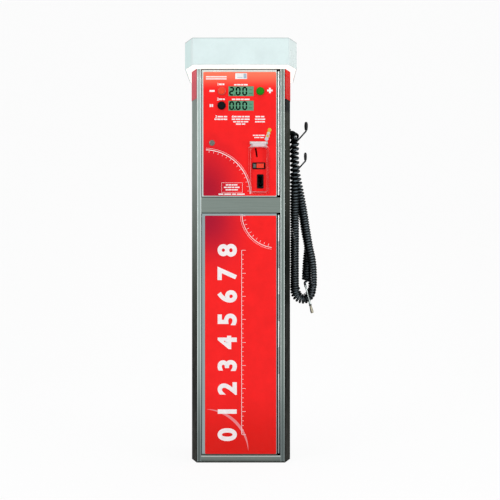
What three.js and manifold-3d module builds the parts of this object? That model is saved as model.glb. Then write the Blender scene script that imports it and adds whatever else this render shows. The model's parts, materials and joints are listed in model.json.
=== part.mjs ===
// A free-standing tyre inflator pillar: a sheet metal cabinet with a lit canopy, a control door with two
// digital read-outs, push-buttons and a coin mechanism, a service door over the compressor, and a curly
// air hose on two hooks. Millimetres, +Z up, the front faces -Y, and the origin lies on the floor at the
// centre of the cabinet's footprint.
import * as THREE from 'three';
import { mergeVertices } from 'three/addons/utils/BufferGeometryUtils.js';
import Module from 'manifold-3d';

const wasm = await Module();
wasm.setup();

// ---------------------------------------------------------------- driving dimensions
// Cabinet
const frontWidth = 320;            // across the two stiles
const bodyWidth = 366;             // across the side walls
const bodyDepth = 330;
const flareDepth = 71;             // how far back the slanted part of a side wall runs
const sheet = 2;                   // cabinet sheet
const basePlateThickness = 4;
const fitGap = 0.3;                // between pieces that sit in or against each other

// Front frame, from the floor up
const frameSheet = 1.5;
const frameDepth = 25;
const stileWidth = 14.3;
const stileBead = 2;               // raised border of a stile
const beadHeight = 1;
const stileLip = 8;                // lip behind a stile that the lock cam catches
const bottomRailHeight = 21.8;
const serviceDoorHeight = 885;
const crossRailHeight = 56;
const controlDoorHeight = 465.4;
const doorGap = 3;                 // round a closed door
const headFlange = 20;             // roof plate's front flange, hidden by the canopy

// Doors
const doorSheet = 1.5;
const doorDepth = 18;
const hingeSlot = 14.2;            // from a door's hinge edge to the stile
const knuckleRadius = 3;
const knuckleBore = 1.6;
const hingePinRadius = 1.3;
const knucklePitch = 90;
const leafSheet = 1.2;
const leafEndMargin = 5;
const fasciaThickness = 1.8;
const fasciaCorner = 4;
const fasciaHingeMargin = 1.9;
const controlFasciaMargin = { left: 5, top: 8, bottom: 3 };
const serviceFasciaMargin = { left: 11, top: 7.8, bottom: 3.2 };

// Canopy
const canopyHeight = 98;
const canopyReach = 90;            // in front of the front frame
const canopyFrontOverhang = 12.5;   // of the canopy's front past each stile
const canopySideOverhang = 22.5;   // of the canopy past each side wall
const canopyCornerDepth = 102;
const canopyBackReach = 8;
const canopyWallThickness = 4;
const canopyLidThickness = 2.5;
const diffuserThickness = 3;
const diffuserClearance = 1;       // from the diffuser's cut-out to the body
const roofPlateThickness = 2;
const canopyFrameTube = 20;
const ledBarSection = { depth: 24, height: 14 };
const ledBarLength = 300;

// Shoulder band
const bandHeight = 108;
const bandThickness = 1;

// Read-outs. A rise is a height above the control door's lower edge.
const readoutWidth = 92.5;
const readoutHeight = 36;
const readoutX = 0.75;
const targetReadoutRise = 386.6;
const readingReadoutRise = 333.6;
const readoutRecess = 0.8;
const readoutBoardMargin = 4;
const readoutBoardDepth = 9;

// Push-buttons
const buttonRadius = 15;
const buttonCapRadius = 12.3;
const buttonNeckRadius = 11;
const buttonTravel = 3;
const buttonPlaces = {
  minus: { x: -70, rise: 386.6 },
  start: { x: -70.5, rise: 333.6 },
  plus: { x: 71.2, rise: 386.6 },
};

// Lock
const lockX = -106;
const lockRise = 196.9;
const lockFlangeRadius = 10.5;
const lockNeckRadius = 9;
const lockPlugRadius = 6.6;
const camLength = 48;
const camWidth = 14;
const camSheet = 2;
const camBehindStile = 1.5;

// Coin mechanism
const coinSlotX = 56.7;
const coinSlotRise = 161.2;
const coinSlotLength = 34;
const coinSlotWidth = 6;
const coinSlotTilt = THREE.MathUtils.degToRad(9);
const acceptorWidth = 50;
const acceptorHeight = 100;
const acceptorDepth = 68;
const rejectX = 65.8;
const rejectRise = 112.8;
const rejectBezel = { width: 48, height: 24.4, proud: 2.5, lip: 4 };
const rejectButton = { width: 27.2, height: 17, x: 71.2, proud: 4 };
const rejectPocketDepth = 9;
const cupX = 71;
const cupRise = 55.7;
const cupWidth = 24;
const cupHeight = 52;
const cupDepth = 24;
const cupWall = 2.5;
const cashBox = { width: 100, depth: 100, height: 62, wall: 1.5 };

// Clear rain flap
const flapX = 65.6;
const flapPinRise = 195.1;
const flapWidth = 74;
const flapHingeWidth = 56;
const flapDrop = 185;              // from the pin to the lower edge
const flapNeck = 6.5;              // from the pin to where the flap starts to widen
const flapShoulder = 16;           // from the pin to where the full width starts
const flapTrayDepth = 15;
const flapRim = 6;
const flapWall = 2;
const flapPinRadius = 2;
const flapBarrelRadius = 4;
const flapPinStandoff = 6.5;       // from the fascia to the pin's axis
const flapEarWidth = 4;

// Inside
const shelfThickness = 2;
const shelfBelowRailTop = 31;
const equipmentSheet = 2;
const equipmentStandoff = 33;
const tankRadius = 75;
const tankBelowShelf = 275.8;      // from the tank's top to the shelf
const pipeRadius = 5;

// Hose and hooks
const hoseDiameter = 9;
const coilDiameter = 34;           // over the curls
const curlSteps = 8;
const hoseSides = 5;
const curlPitch = 19;
const outletRise = 246.2;
const outletY = -72;
const hookRodRadius = 3;
const hookY = -11;

// ---------------------------------------------------------------- shapes and solids
const rearwards = new THREE.Vector3(0, 1, 0);
const outwards = new THREE.Vector3(0, -1, 0);
const upwards = new THREE.Vector3(0, 0, 1);
const rightwards = new THREE.Vector3(1, 0, 0);
const leftwards = new THREE.Vector3(-1, 0, 0);

// A closed, indexed, outward-facing copy of a geometry, with only positions left.
function closed(source) {
  const bare = new THREE.BufferGeometry();
  bare.setAttribute('position', source.getAttribute('position').clone());
  if (source.index) bare.setIndex(source.index.clone());
  const merged = mergeVertices(bare, 1e-4);
  const point = merged.getAttribute('position');
  const kept = [];
  let volume = 0;
  const [a, b, c] = [new THREE.Vector3(), new THREE.Vector3(), new THREE.Vector3()];
  for (let i = 0; i < merged.index.count; i += 3) {
    const corner = [0, 1, 2].map((k) => merged.index.getX(i + k));
    if (new Set(corner).size < 3) continue;
    kept.push(corner);
    a.fromBufferAttribute(point, corner[0]);
    b.fromBufferAttribute(point, corner[1]);
    c.fromBufferAttribute(point, corner[2]);
    volume += a.dot(b.cross(c));
  }
  merged.setIndex(kept.flatMap(([p, q, r]) => (volume < 0 ? [p, r, q] : [p, q, r])));
  return merged;
}

function toManifold(geometry) {
  const solid = closed(geometry);
  return new wasm.Manifold(new wasm.Mesh({
    numProp: 3,
    vertProperties: new Float32Array(solid.getAttribute('position').array),
    triVerts: new Uint32Array(solid.index.array),
  }));
}

function fromManifold(manifold) {
  const mesh = manifold.getMesh();
  const geometry = new THREE.BufferGeometry();
  geometry.setAttribute('position', new THREE.BufferAttribute(new Float32Array(mesh.vertProperties), 3));
  geometry.setIndex(new THREE.BufferAttribute(new Uint32Array(mesh.triVerts), 1));
  return geometry;
}

function join(first, ...others) {
  return fromManifold(others.reduce((sum, other) => sum.add(toManifold(other)), toManifold(first)));
}

function cut(first, ...tools) {
  return fromManifold(tools.reduce((rest, tool) => rest.subtract(toManifold(tool)), toManifold(first)));
}

function box(x0, x1, y0, y1, z0, z1) {
  return new THREE.BoxGeometry(x1 - x0, y1 - y0, z1 - z0)
    .translate((x0 + x1) / 2, (y0 + y1) / 2, (z0 + z1) / 2);
}

function shapeOf(points) {
  return new THREE.Shape(points.map(([u, v]) => new THREE.Vector2(u, v)));
}

function extrude(shape, depth) {
  return new THREE.ExtrudeGeometry(shape, { depth, bevelEnabled: false, curveSegments: 2 });
}

// A shape in X and Y, extruded upwards.
function plate(shape, z0, z1) {
  return extrude(shape, z1 - z0).translate(0, 0, z0);
}

// A shape in X and Z, extruded from the front to the back.
function panel(shape, yFront, yBack) {
  const basis = new THREE.Matrix4().makeBasis(rightwards, upwards, outwards);
  return extrude(shape, yBack - yFront).applyMatrix4(basis).translate(0, yBack, 0);
}

// A shape in Y and Z, extruded from left to right.
function beam(shape, x0, x1) {
  const basis = new THREE.Matrix4().makeBasis(rearwards, upwards, rightwards);
  return extrude(shape, x1 - x0).applyMatrix4(basis).translate(x0, 0, 0);
}

// A profile of [radius, height] points turned about an axis that starts at a place.
function turned(profile, place, axis, segments = 14) {
  const points = profile.map(([radius, height]) => new THREE.Vector2(radius, height));
  const turn = new THREE.Quaternion().setFromUnitVectors(new THREE.Vector3(0, 1, 0), axis);
  return new THREE.LatheGeometry(points, segments).applyQuaternion(turn).translate(...place);
}

function rod(radius, length, place, axis, segments = 14) {
  return turned([[0, 0], [radius, 0], [radius, length], [0, length]], place, axis, segments);
}

function bentRod(points, radius, steps, sides = 8) {
  const section = new THREE.Shape();
  for (let i = 0; i < sides; i += 1) {
    const angle = (2 * Math.PI * i) / sides;
    const [u, v] = [radius * Math.cos(angle), radius * Math.sin(angle)];
    if (i === 0) section.moveTo(u, v);
    else section.lineTo(u, v);
  }
  const path = new THREE.CatmullRomCurve3(points.map((p) => new THREE.Vector3(...p)), false, 'centripetal');
  return new THREE.ExtrudeGeometry(section, { steps, extrudePath: path });
}

function roundedRectangle(x0, x1, z0, z1, radius) {
  const shape = new THREE.Shape();
  shape.moveTo(x0 + radius, z0);
  shape.lineTo(x1 - radius, z0);
  shape.absarc(x1 - radius, z0 + radius, radius, -Math.PI / 2, 0);
  shape.lineTo(x1, z1 - radius);
  shape.absarc(x1 - radius, z1 - radius, radius, 0, Math.PI / 2);
  shape.lineTo(x0 + radius, z1);
  shape.absarc(x0 + radius, z1 - radius, radius, Math.PI / 2, Math.PI);
  shape.lineTo(x0, z0 + radius);
  shape.absarc(x0 + radius, z0 + radius, radius, Math.PI, 1.5 * Math.PI);
  return shape;
}

// An open line moved sideways, to the left of its direction, with mitred corners.
function offsetLine(points, distance) {
  const normal = (p, q) => {
    const length = Math.hypot(q[0] - p[0], q[1] - p[1]);
    return [-(q[1] - p[1]) / length, (q[0] - p[0]) / length];
  };
  return points.map((point, i) => {
    const before = i > 0 ? normal(points[i - 1], point) : normal(point, points[1]);
    const after = i < points.length - 1 ? normal(point, points[i + 1]) : before;
    const scale = distance / (1 + before[0] * after[0] + before[1] * after[1]);
    return [point[0] + scale * (before[0] + after[0]), point[1] + scale * (before[1] + after[1])];
  });
}

// The section of a folded sheet: a line and its copy one thickness to the left.
function foldedSection(points, thickness) {
  return shapeOf([...points, ...offsetLine(points, thickness).reverse()]);
}

const mirrored = (points) => points.map(([u, v]) => [-u, v]);
const bothSides = (left) => [...left, ...mirrored(left).reverse()];

// ---------------------------------------------------------------- finishes
function finish(color, roughness, metalness, extra = {}) {
  return new THREE.MeshStandardMaterial({ color, roughness, metalness, ...extra });
}

const brushedSteel = finish('#98a6a2', 0.35, 1);
const darkPaint = finish('#30312c', 0.5, 0.2);
const redPaint = finish('#e0241c', 0.35, 0);
const redPrint = finish('#e0261f', 0.25, 0);
const whiteOpal = finish('#e6f2f2', 0.35, 0);
const greySheet = finish('#8d9694', 0.5, 0.7);
const blackPlastic = finish('#101112', 0.45, 0);
const blackRubber = finish('#0c0d0f', 0.4, 0);
const chrome = finish('#c4ccc9', 0.15, 1);
const brass = finish('#b9a25c', 0.3, 1);
const clearPlastic = finish('#e8eeee', 0.08, 0, { transparent: true, opacity: 0.35 });
const displayGlass = finish('#6b9c7c', 0.2, 0);

const pillar = new THREE.Group();
const controlDoor = new THREE.Group();
const serviceDoor = new THREE.Group();
pillar.add(controlDoor, serviceDoor);

function addPiece(group, name, geometry, material) {
  const mesh = new THREE.Mesh(closed(geometry), material);
  mesh.name = name;
  group.add(mesh);
  return mesh;
}

// ---------------------------------------------------------------- levels and planes
const frontY = -bodyDepth / 2;
const backY = bodyDepth / 2;
const stileInnerX = frontWidth / 2 - stileWidth;
const bottomRailTop = basePlateThickness + bottomRailHeight;
const serviceDoorBottom = bottomRailTop + doorGap;
const serviceDoorTop = serviceDoorBottom + serviceDoorHeight;
const crossRailBottom = serviceDoorTop + doorGap;
const crossRailTop = crossRailBottom + crossRailHeight;
const controlDoorBottom = crossRailTop + doorGap;
const controlDoorTop = controlDoorBottom + controlDoorHeight;
const targetReadoutZ = controlDoorBottom + targetReadoutRise;
const readingReadoutZ = controlDoorBottom + readingReadoutRise;
const lockZ = controlDoorBottom + lockRise;
const coinSlotZ = controlDoorBottom + coinSlotRise;
const rejectZ = controlDoorBottom + rejectRise;
const cupZ = controlDoorBottom + cupRise;
const flapPinZ = controlDoorBottom + flapPinRise;
const outletZ = controlDoorBottom + outletRise;
const headBottom = controlDoorTop + doorGap;
const cabinetTop = headBottom + headFlange;
const roofTop = cabinetTop + roofPlateThickness;
const doorLeftX = -stileInnerX + doorGap;
const doorRightX = stileInnerX - hingeSlot;
const doorBackY = frontY + doorSheet;
const fasciaFrontY = frontY - fasciaThickness;
const hingeX = (doorRightX + stileInnerX) / 2;
const hingeY = frontY + beadHeight + 1;
const frameBackY = frontY + frameDepth;

// ---------------------------------------------------------------- cabinet
const wallFrontX = frontWidth / 2 + fitGap + sheet;
const bodyLeftLine = [
  [-wallFrontX, frontY],
  [-bodyWidth / 2, frontY + flareDepth],
  [-bodyWidth / 2, backY],
];
const bodyLine = bothSides(bodyLeftLine);
const bodyInnerLine = (clearance) => offsetLine(bodyLine, -(sheet + clearance));
const bodyOuterLine = (clearance) => offsetLine(bodyLine, clearance);

// Anchor holes and the opening for the power cable
const anchorHole = { radius: 7, x: 125, y: 115 };
const cableOpening = { width: 80, depth: 50, y: -100 };
const anchorHoles = [[1, 1], [1, -1], [-1, 1], [-1, -1]].map(([sx, sy]) => rod(
  anchorHole.radius,
  2 * basePlateThickness,
  [sx * anchorHole.x, sy * anchorHole.y, -basePlateThickness / 2],
  upwards,
));
addPiece(pillar, 'base_plate', cut(
  plate(shapeOf(bodyLine), 0, basePlateThickness),
  ...anchorHoles,
  box(
    -cableOpening.width / 2,
    cableOpening.width / 2,
    cableOpening.y - cableOpening.depth / 2,
    cableOpening.y + cableOpening.depth / 2,
    -1,
    basePlateThickness + 1,
  ),
), darkPaint);

// The body is one sheet, folded round the sides and the back
const ventWidth = 150;
const ventHeight = 144;
const ventZ = 150;
const outletHoleRadius = 9.4;
addPiece(pillar, 'cabinet_shell', cut(
  plate(foldedSection(bodyLine, -sheet), basePlateThickness, cabinetTop),
  box(-ventWidth / 2, ventWidth / 2, backY - 2 * sheet, backY + sheet,
    ventZ - ventHeight / 2, ventZ + ventHeight / 2),
  rod(outletHoleRadius, 3 * sheet, [bodyWidth / 2 - 2 * sheet, outletY, outletZ], rightwards),
), darkPaint);

const ventMargin = 12;
const ventSlots = 8;
const ventSlotHeight = 7;
const ventSlotPitch = ventHeight / ventSlots;
addPiece(pillar, 'vent_grille', cut(
  panel(roundedRectangle(
    -ventWidth / 2 - ventMargin,
    ventWidth / 2 + ventMargin,
    ventZ - ventHeight / 2 - ventMargin,
    ventZ + ventHeight / 2 + ventMargin,
    fasciaCorner,
  ), backY, backY + sheet),
  ...Array.from({ length: ventSlots }, (_, i) => {
    const middle = ventZ - ventHeight / 2 + (i + 0.5) * ventSlotPitch;
    return box(-ventWidth / 2, ventWidth / 2, backY - 1, backY + sheet + 1,
      middle - ventSlotHeight / 2, middle + ventSlotHeight / 2);
  }),
), darkPaint);

addPiece(pillar, 'shoulder_band', plate(
  foldedSection(bodyOuterLine(fitGap), bandThickness),
  headBottom - bandHeight,
  headBottom - fitGap,
), redPaint);

// ---------------------------------------------------------------- front frame
// A stile's section: u runs from its outer edge inwards, v from the front plane backwards.
const stileSection = [
  [0, 0], [stileBead, 0], [stileBead + 0.8, beadHeight], [stileWidth - stileBead - 0.8, beadHeight],
  [stileWidth - stileBead, 0], [stileWidth, 0], [stileWidth, frameDepth],
  [stileWidth - stileLip, frameDepth], [stileWidth - stileLip, frameDepth - frameSheet],
  [stileWidth - frameSheet, frameDepth - frameSheet], [stileWidth - frameSheet, beadHeight + frameSheet],
  [frameSheet, beadHeight + frameSheet], [frameSheet, 6], [0, 6],
];
const leftStileOutline = stileSection.map(([u, v]) => [u - frontWidth / 2, frontY + v]);
const stile = (outline) => plate(shapeOf(outline), basePlateThickness, cabinetTop);
addPiece(pillar, 'left_stile', stile(leftStileOutline), brushedSteel);

// A hinge: knuckles in turn on the stile's leaf and on the door's leaf, with the pin in the door's.
function hingeSpans(doorBottom, doorHeight) {
  const length = doorHeight - 2 * leafEndMargin;
  const count = 2 * Math.floor(length / (2 * knucklePitch)) + 1;
  return Array.from({ length: count }, (_, i) => ({
    low: doorBottom + leafEndMargin + (i * length) / count,
    high: doorBottom + leafEndMargin + ((i + 1) * length) / count,
    onFrame: i % 2 === 0,
  }));
}

function hingeLeaf(doorBottom, doorHeight, onFrame) {
  const side = onFrame ? 1 : -1;
  const seatX = onFrame ? stileInnerX : doorRightX + fitGap;
  const backOfLeaf = onFrame ? frameBackY - 3 : frontY + doorDepth;
  const nearKnuckle = knuckleRadius / 2 - 0.3;
  const line = [
    [hingeX + side * nearKnuckle, hingeY + knuckleRadius / 2],
    [hingeX + side * nearKnuckle, hingeY + knuckleRadius + 1.5],
    [seatX - side * leafSheet, hingeY + knuckleRadius + 6],
    [seatX - side * leafSheet, backOfLeaf],
  ];
  const spans = hingeSpans(doorBottom, doorHeight);
  const low = doorBottom + leafEndMargin;
  const high = low + doorHeight - 2 * leafEndMargin;
  const leaf = plate(foldedSection(line, -side * leafSheet), low, high);
  const clearing = spans.filter((span) => span.onFrame !== onFrame).map((span) => rod(
    knuckleRadius + fitGap,
    span.high - span.low + 2 * fitGap,
    [hingeX, hingeY, span.low - fitGap],
    upwards,
    12,
  ));
  const knuckles = spans.filter((span) => span.onFrame === onFrame).map((span) => rod(
    knuckleRadius,
    span.high - span.low - fitGap,
    [hingeX, hingeY, span.low + fitGap / 2],
    upwards,
    12,
  ));
  const body = join(cut(leaf, ...clearing), ...knuckles);
  if (onFrame) return cut(body, rod(knuckleBore, doorHeight, [hingeX, hingeY, doorBottom], upwards, 12));
  return join(body, rod(hingePinRadius, high - low, [hingeX, hingeY, low], upwards, 12));
}

addPiece(pillar, 'right_stile', join(
  stile(mirrored(leftStileOutline).reverse()),
  hingeLeaf(serviceDoorBottom, serviceDoorHeight, true),
  hingeLeaf(controlDoorBottom, controlDoorHeight, true),
), brushedSteel);

// Rails are channels, open at the back
function rail(bottom, height) {
  const line = [
    [frameBackY, bottom],
    [frontY, bottom],
    [frontY, bottom + height],
    [frameBackY, bottom + height],
  ];
  return beam(foldedSection(line, -frameSheet), -stileInnerX + fitGap, stileInnerX - fitGap);
}
addPiece(pillar, 'bottom_rail', rail(basePlateThickness, bottomRailHeight), brushedSteel);
addPiece(pillar, 'cross_rail', rail(crossRailBottom, crossRailHeight), brushedSteel);

addPiece(pillar, 'roof_plate', join(
  plate(shapeOf(bodyLine), cabinetTop, roofTop),
  box(-stileInnerX + fitGap, stileInnerX - fitGap, frontY, frontY + frameSheet, headBottom, cabinetTop),
), greySheet);

// ---------------------------------------------------------------- canopy
const canopyLeftLine = [
  [-frontWidth / 2 - canopyFrontOverhang, frontY - canopyReach],
  [-bodyWidth / 2 - canopySideOverhang, frontY - canopyReach + canopyCornerDepth],
  [-bodyWidth / 2 - canopySideOverhang, backY + canopyBackReach],
];
const canopyLine = bothSides(canopyLeftLine);
// A closed line moved inwards: the open line is offset with its ends run on across the front.
function insideCanopy(distance) {
  const wrapped = [[0, canopyLine[0][1]], ...canopyLine, [0, canopyLine[0][1]]];
  return offsetLine(wrapped, -distance).slice(1, -1);
}
const canopyBottom = headBottom;
const canopyWallTop = canopyBottom + canopyHeight - canopyLidThickness;
addPiece(pillar, 'canopy_wall', cut(
  plate(shapeOf(canopyLine), canopyBottom, canopyWallTop),
  plate(shapeOf(insideCanopy(canopyWallThickness)), canopyBottom - 1, canopyWallTop + 1),
), whiteOpal);
addPiece(pillar, 'canopy_lid', plate(
  shapeOf(canopyLine),
  canopyWallTop,
  canopyWallTop + canopyLidThickness,
), greySheet);

const bodyCutFrontY = frontY - diffuserClearance;
const diffuserCut = bothSides([
  [-wallFrontX - diffuserClearance, bodyCutFrontY],
  [-bodyWidth / 2 - diffuserClearance, frontY + flareDepth],
  [-bodyWidth / 2 - diffuserClearance, backY + diffuserClearance],
]);
addPiece(pillar, 'canopy_diffuser', cut(
  plate(shapeOf(insideCanopy(canopyWallThickness + fitGap)), canopyBottom, canopyBottom + diffuserThickness),
  plate(shapeOf(diffuserCut), canopyBottom - 1, canopyBottom + diffuserThickness + 1),
), whiteOpal);

// Two cross tubes on the roof plate, with posts under the lid and arms to the front for the lamp bar
const armX = 105;
const postTop = canopyWallTop - fitGap;
const ledBarFrontY = frontY - 62;
const ledBarBottom = roofTop + 24;
const ledBarTop = ledBarBottom + ledBarSection.height;
const armBackY = 90;
const canopyArms = [-1, 1].map((side) => beam(shapeOf([
  [armBackY, roofTop], [armBackY, postTop], [armBackY - canopyFrameTube, postTop],
  [armBackY - canopyFrameTube, ledBarTop + canopyFrameTube], [frontY, ledBarTop + canopyFrameTube],
  [ledBarFrontY, ledBarTop + 4], [ledBarFrontY, ledBarTop], [frontY, ledBarTop], [frontY + 30, roofTop],
]), side * armX - canopyFrameTube / 2, side * armX + canopyFrameTube / 2));
addPiece(pillar, 'canopy_frame', join(
  ...canopyArms,
  box(-armX, armX, armBackY - canopyFrameTube, armBackY, roofTop, roofTop + canopyFrameTube),
), greySheet);
addPiece(pillar, 'led_bar', box(
  -ledBarLength / 2,
  ledBarLength / 2,
  ledBarFrontY,
  ledBarFrontY + ledBarSection.depth,
  ledBarBottom,
  ledBarTop,
), whiteOpal);

// ---------------------------------------------------------------- doors
const windowGap = 0.3;
function doorTray(bottom, height) {
  return cut(
    box(doorLeftX, doorRightX, frontY, frontY + doorDepth, bottom, bottom + height),
    box(doorLeftX + doorSheet, doorRightX - doorSheet, doorBackY, frontY + doorDepth + 1,
      bottom + doorSheet, bottom + height - doorSheet),
  );
}

function fascia(margin, bottom, height) {
  return panel(roundedRectangle(
    doorLeftX + margin.left,
    doorRightX - fasciaHingeMargin,
    bottom + margin.bottom,
    bottom + height - margin.top,
    fasciaCorner,
  ), fasciaFrontY, frontY);
}

// The tilted coin slot, as a cutting prism from the fascia to a depth.
function coinSlotCutter(yBack) {
  const slot = panel(roundedRectangle(
    -coinSlotWidth / 2,
    coinSlotWidth / 2,
    -coinSlotLength / 2,
    coinSlotLength / 2,
    coinSlotWidth / 2 - 0.1,
  ), fasciaFrontY - 1, yBack);
  return slot.rotateY(-coinSlotTilt).translate(coinSlotX, 0, coinSlotZ);
}

const throughY = [fasciaFrontY - 1, frontY + doorSheet + 1];
const readoutWindow = (z) => box(
  readoutX - readoutWidth / 2 - windowGap,
  readoutX + readoutWidth / 2 + windowGap,
  ...throughY,
  z - readoutHeight / 2 - windowGap,
  z + readoutHeight / 2 + windowGap,
);
const roundHole = (x, z, radius) => rod(
  radius + windowGap,
  throughY[1] - throughY[0],
  [x, throughY[0], z],
  rearwards,
);
const controlHoles = [
  readoutWindow(targetReadoutZ),
  readoutWindow(readingReadoutZ),
  ...Object.values(buttonPlaces).map(({ x, rise }) => (
    roundHole(x, controlDoorBottom + rise, buttonNeckRadius)
  )),
  roundHole(lockX, lockZ, lockNeckRadius),
  coinSlotCutter(throughY[1]),
  box(
    rejectX - rejectBezel.width / 2 + rejectBezel.lip - windowGap,
    rejectX + rejectBezel.width / 2 - rejectBezel.lip + windowGap,
    ...throughY,
    rejectZ - rejectBezel.height / 2 + 1,
    rejectZ + rejectBezel.height / 2 - 1,
  ),
  box(cupX - cupWidth / 2 + cupWall, cupX + cupWidth / 2 - cupWall, ...throughY,
    cupZ - cupHeight / 2 + cupWall, cupZ + cupHeight / 2 - cupWall),
];
addPiece(controlDoor, 'control_door_panel', cut(
  doorTray(controlDoorBottom, controlDoorHeight),
  ...controlHoles,
), brushedSteel);
addPiece(controlDoor, 'control_door_fascia', cut(
  fascia(controlFasciaMargin, controlDoorBottom, controlDoorHeight),
  ...controlHoles,
), redPrint);
addPiece(
  controlDoor,
  'control_door_leaf',
  hingeLeaf(controlDoorBottom, controlDoorHeight, false),
  brushedSteel,
);

// The service door carries two guide plates for its bolt, which rises behind the cross rail
const boltWidth = 12;
const boltThickness = 4;
const boltY = frameBackY + 5;
const boltTravel = 12;
const boltBelowDoorTop = 5;
const guideSheet = 3;
const guideWidth = 28;
const upperGuideZ = serviceDoorTop - 30;
const lowerGuideZ = upperGuideZ - boltTravel - 11;
const boltHole = box(
  -boltWidth / 2 - fitGap,
  boltWidth / 2 + fitGap,
  boltY - boltThickness / 2 - fitGap,
  boltY + boltThickness / 2 + fitGap,
  lowerGuideZ - 1,
  upperGuideZ + guideSheet + 1,
);
const guidePlates = [lowerGuideZ, upperGuideZ].map((z) => box(
  -guideWidth / 2,
  guideWidth / 2,
  doorBackY,
  boltY + boltThickness / 2 + 4,
  z,
  z + guideSheet,
));
addPiece(serviceDoor, 'service_door_panel', join(
  doorTray(serviceDoorBottom, serviceDoorHeight),
  ...guidePlates.map((guide) => cut(guide, boltHole)),
), brushedSteel);
addPiece(serviceDoor, 'service_door_fascia', fascia(
  serviceFasciaMargin,
  serviceDoorBottom,
  serviceDoorHeight,
), redPrint);
addPiece(
  serviceDoor,
  'service_door_leaf',
  hingeLeaf(serviceDoorBottom, serviceDoorHeight, false),
  brushedSteel,
);

const boltTabHeight = 5;
const boltBottom = lowerGuideZ - boltTravel - 3;
addPiece(serviceDoor, 'door_bolt', join(
  box(-boltWidth / 2, boltWidth / 2, boltY - boltThickness / 2, boltY + boltThickness / 2,
    boltBottom, serviceDoorTop - boltBelowDoorTop),
  box(-guideWidth / 2, guideWidth / 2, boltY - boltThickness / 2, boltY + boltThickness / 2,
    lowerGuideZ + guideSheet + fitGap, lowerGuideZ + guideSheet + fitGap + boltTabHeight),
), chrome);

// ---------------------------------------------------------------- read-outs
function readout(z) {
  const halfWidth = readoutWidth / 2;
  const halfHeight = readoutHeight / 2;
  const boardFront = doorBackY + fitGap;
  return join(
    box(readoutX - halfWidth, readoutX + halfWidth, fasciaFrontY + readoutRecess, boardFront,
      z - halfHeight, z + halfHeight),
    box(readoutX - halfWidth - readoutBoardMargin, readoutX + halfWidth + readoutBoardMargin,
      boardFront, boardFront + readoutBoardDepth, z - halfHeight - readoutBoardMargin,
      z + halfHeight + readoutBoardMargin),
  );
}
addPiece(controlDoor, 'target_readout', readout(targetReadoutZ), displayGlass);
addPiece(controlDoor, 'reading_readout', readout(readingReadoutZ), displayGlass);

// ---------------------------------------------------------------- push-buttons
// Heights run outwards from the fascia; the cap slides in the collar, and a nut clamps the neck.
const collarHeight = 5.5;
const collarBevel = 1;
const capGap = 0.4;                // round the cap and its stem
const collarFloor = 1;
const capBottom = collarFloor + buttonTravel + 0.5;
const capTop = 9.5;
const stemRadius = 4;
const stemDepth = 9;
const stemBoreDepth = stemDepth + buttonTravel + 1;
const panelBack = -(fasciaThickness + doorSheet);
const nutHeight = 4;
const nutOverhang = 3.5;
const neckDepth = 22;
const contactBlock = { width: 22, depth: 16 };
const neckNutProfile = (neckRadius, flangeRadius) => [
  [neckRadius, panelBack - nutHeight - fitGap], [neckRadius + nutOverhang, panelBack - nutHeight - fitGap],
  [neckRadius + nutOverhang, panelBack - fitGap], [neckRadius, panelBack - fitGap],
  [neckRadius, fitGap], [flangeRadius, fitGap],
];
const buttonBodyProfile = [
  [0, -neckDepth], [buttonNeckRadius, -neckDepth],
  ...neckNutProfile(buttonNeckRadius, buttonRadius),
  [buttonRadius, collarHeight - collarBevel], [buttonRadius - collarBevel, collarHeight],
  [buttonCapRadius + capGap, collarHeight], [buttonCapRadius + capGap, collarFloor],
  [stemRadius + capGap, collarFloor], [stemRadius + capGap, -stemBoreDepth], [0, -stemBoreDepth],
];
const buttonCapProfile = [
  [0, -stemDepth], [stemRadius, -stemDepth], [stemRadius, capBottom], [buttonCapRadius, capBottom],
  [buttonCapRadius, capTop - 2], [buttonCapRadius - 1.2, capTop - 0.7], [buttonCapRadius / 2, capTop - 0.1],
  [0, capTop],
];
const buttonFinishes = {
  minus: finish('#ff4426', 0.3, 0),
  start: finish('#16181a', 0.35, 0),
  plus: finish('#1d8a3c', 0.3, 0),
};
for (const [name, { x, rise }] of Object.entries(buttonPlaces)) {
  const z = controlDoorBottom + rise;
  const place = [x, fasciaFrontY, z];
  addPiece(controlDoor, `${name}_button_body`, join(
    turned(buttonBodyProfile, place, outwards),
    box(x - contactBlock.width / 2, x + contactBlock.width / 2,
      fasciaFrontY + neckDepth, fasciaFrontY + neckDepth + contactBlock.depth,
      z - contactBlock.width / 2, z + contactBlock.width / 2),
  ), buttonFinishes[name]);
  addPiece(controlDoor, `${name}_button`, turned(buttonCapProfile, place, outwards), buttonFinishes[name]);
}

// ---------------------------------------------------------------- lock
const camFrontY = frameBackY + camBehindStile;
const lockLength = camFrontY - fasciaFrontY;
const lockHousingBack = -(lockLength - fitGap);
const lockPlace = [lockX, fasciaFrontY, lockZ];
const plugGap = 0.4;
addPiece(controlDoor, 'lock_housing', turned([
  [lockPlugRadius + plugGap, lockHousingBack], [lockNeckRadius, lockHousingBack],
  ...neckNutProfile(lockNeckRadius, lockFlangeRadius), [lockFlangeRadius, 1.6],
  [lockFlangeRadius - 0.8, 2.4], [lockPlugRadius + plugGap, 2.4], [lockPlugRadius + plugGap, lockHousingBack],
], lockPlace, outwards), chrome);
const keyway = { width: 1.8, height: 7, depth: 8 };
addPiece(controlDoor, 'lock_plug', join(
  cut(
    rod(lockPlugRadius, lockLength + 2, [lockX, fasciaFrontY - 2, lockZ], rearwards),
    box(lockX - keyway.width / 2, lockX + keyway.width / 2, fasciaFrontY - 3,
      fasciaFrontY - 2 + keyway.depth, lockZ - keyway.height / 2, lockZ + keyway.height / 2),
  ),
  box(lockX - 3, lockX + 3, camFrontY, camFrontY + camSheet + 3, lockZ - 3, lockZ + 3),
), chrome);
const camOutline = new THREE.Shape();
camOutline.absarc(0, 0, camWidth / 2 + 1, 0, Math.PI);
camOutline.lineTo(-camWidth / 2, -camLength + camWidth / 2);
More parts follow.
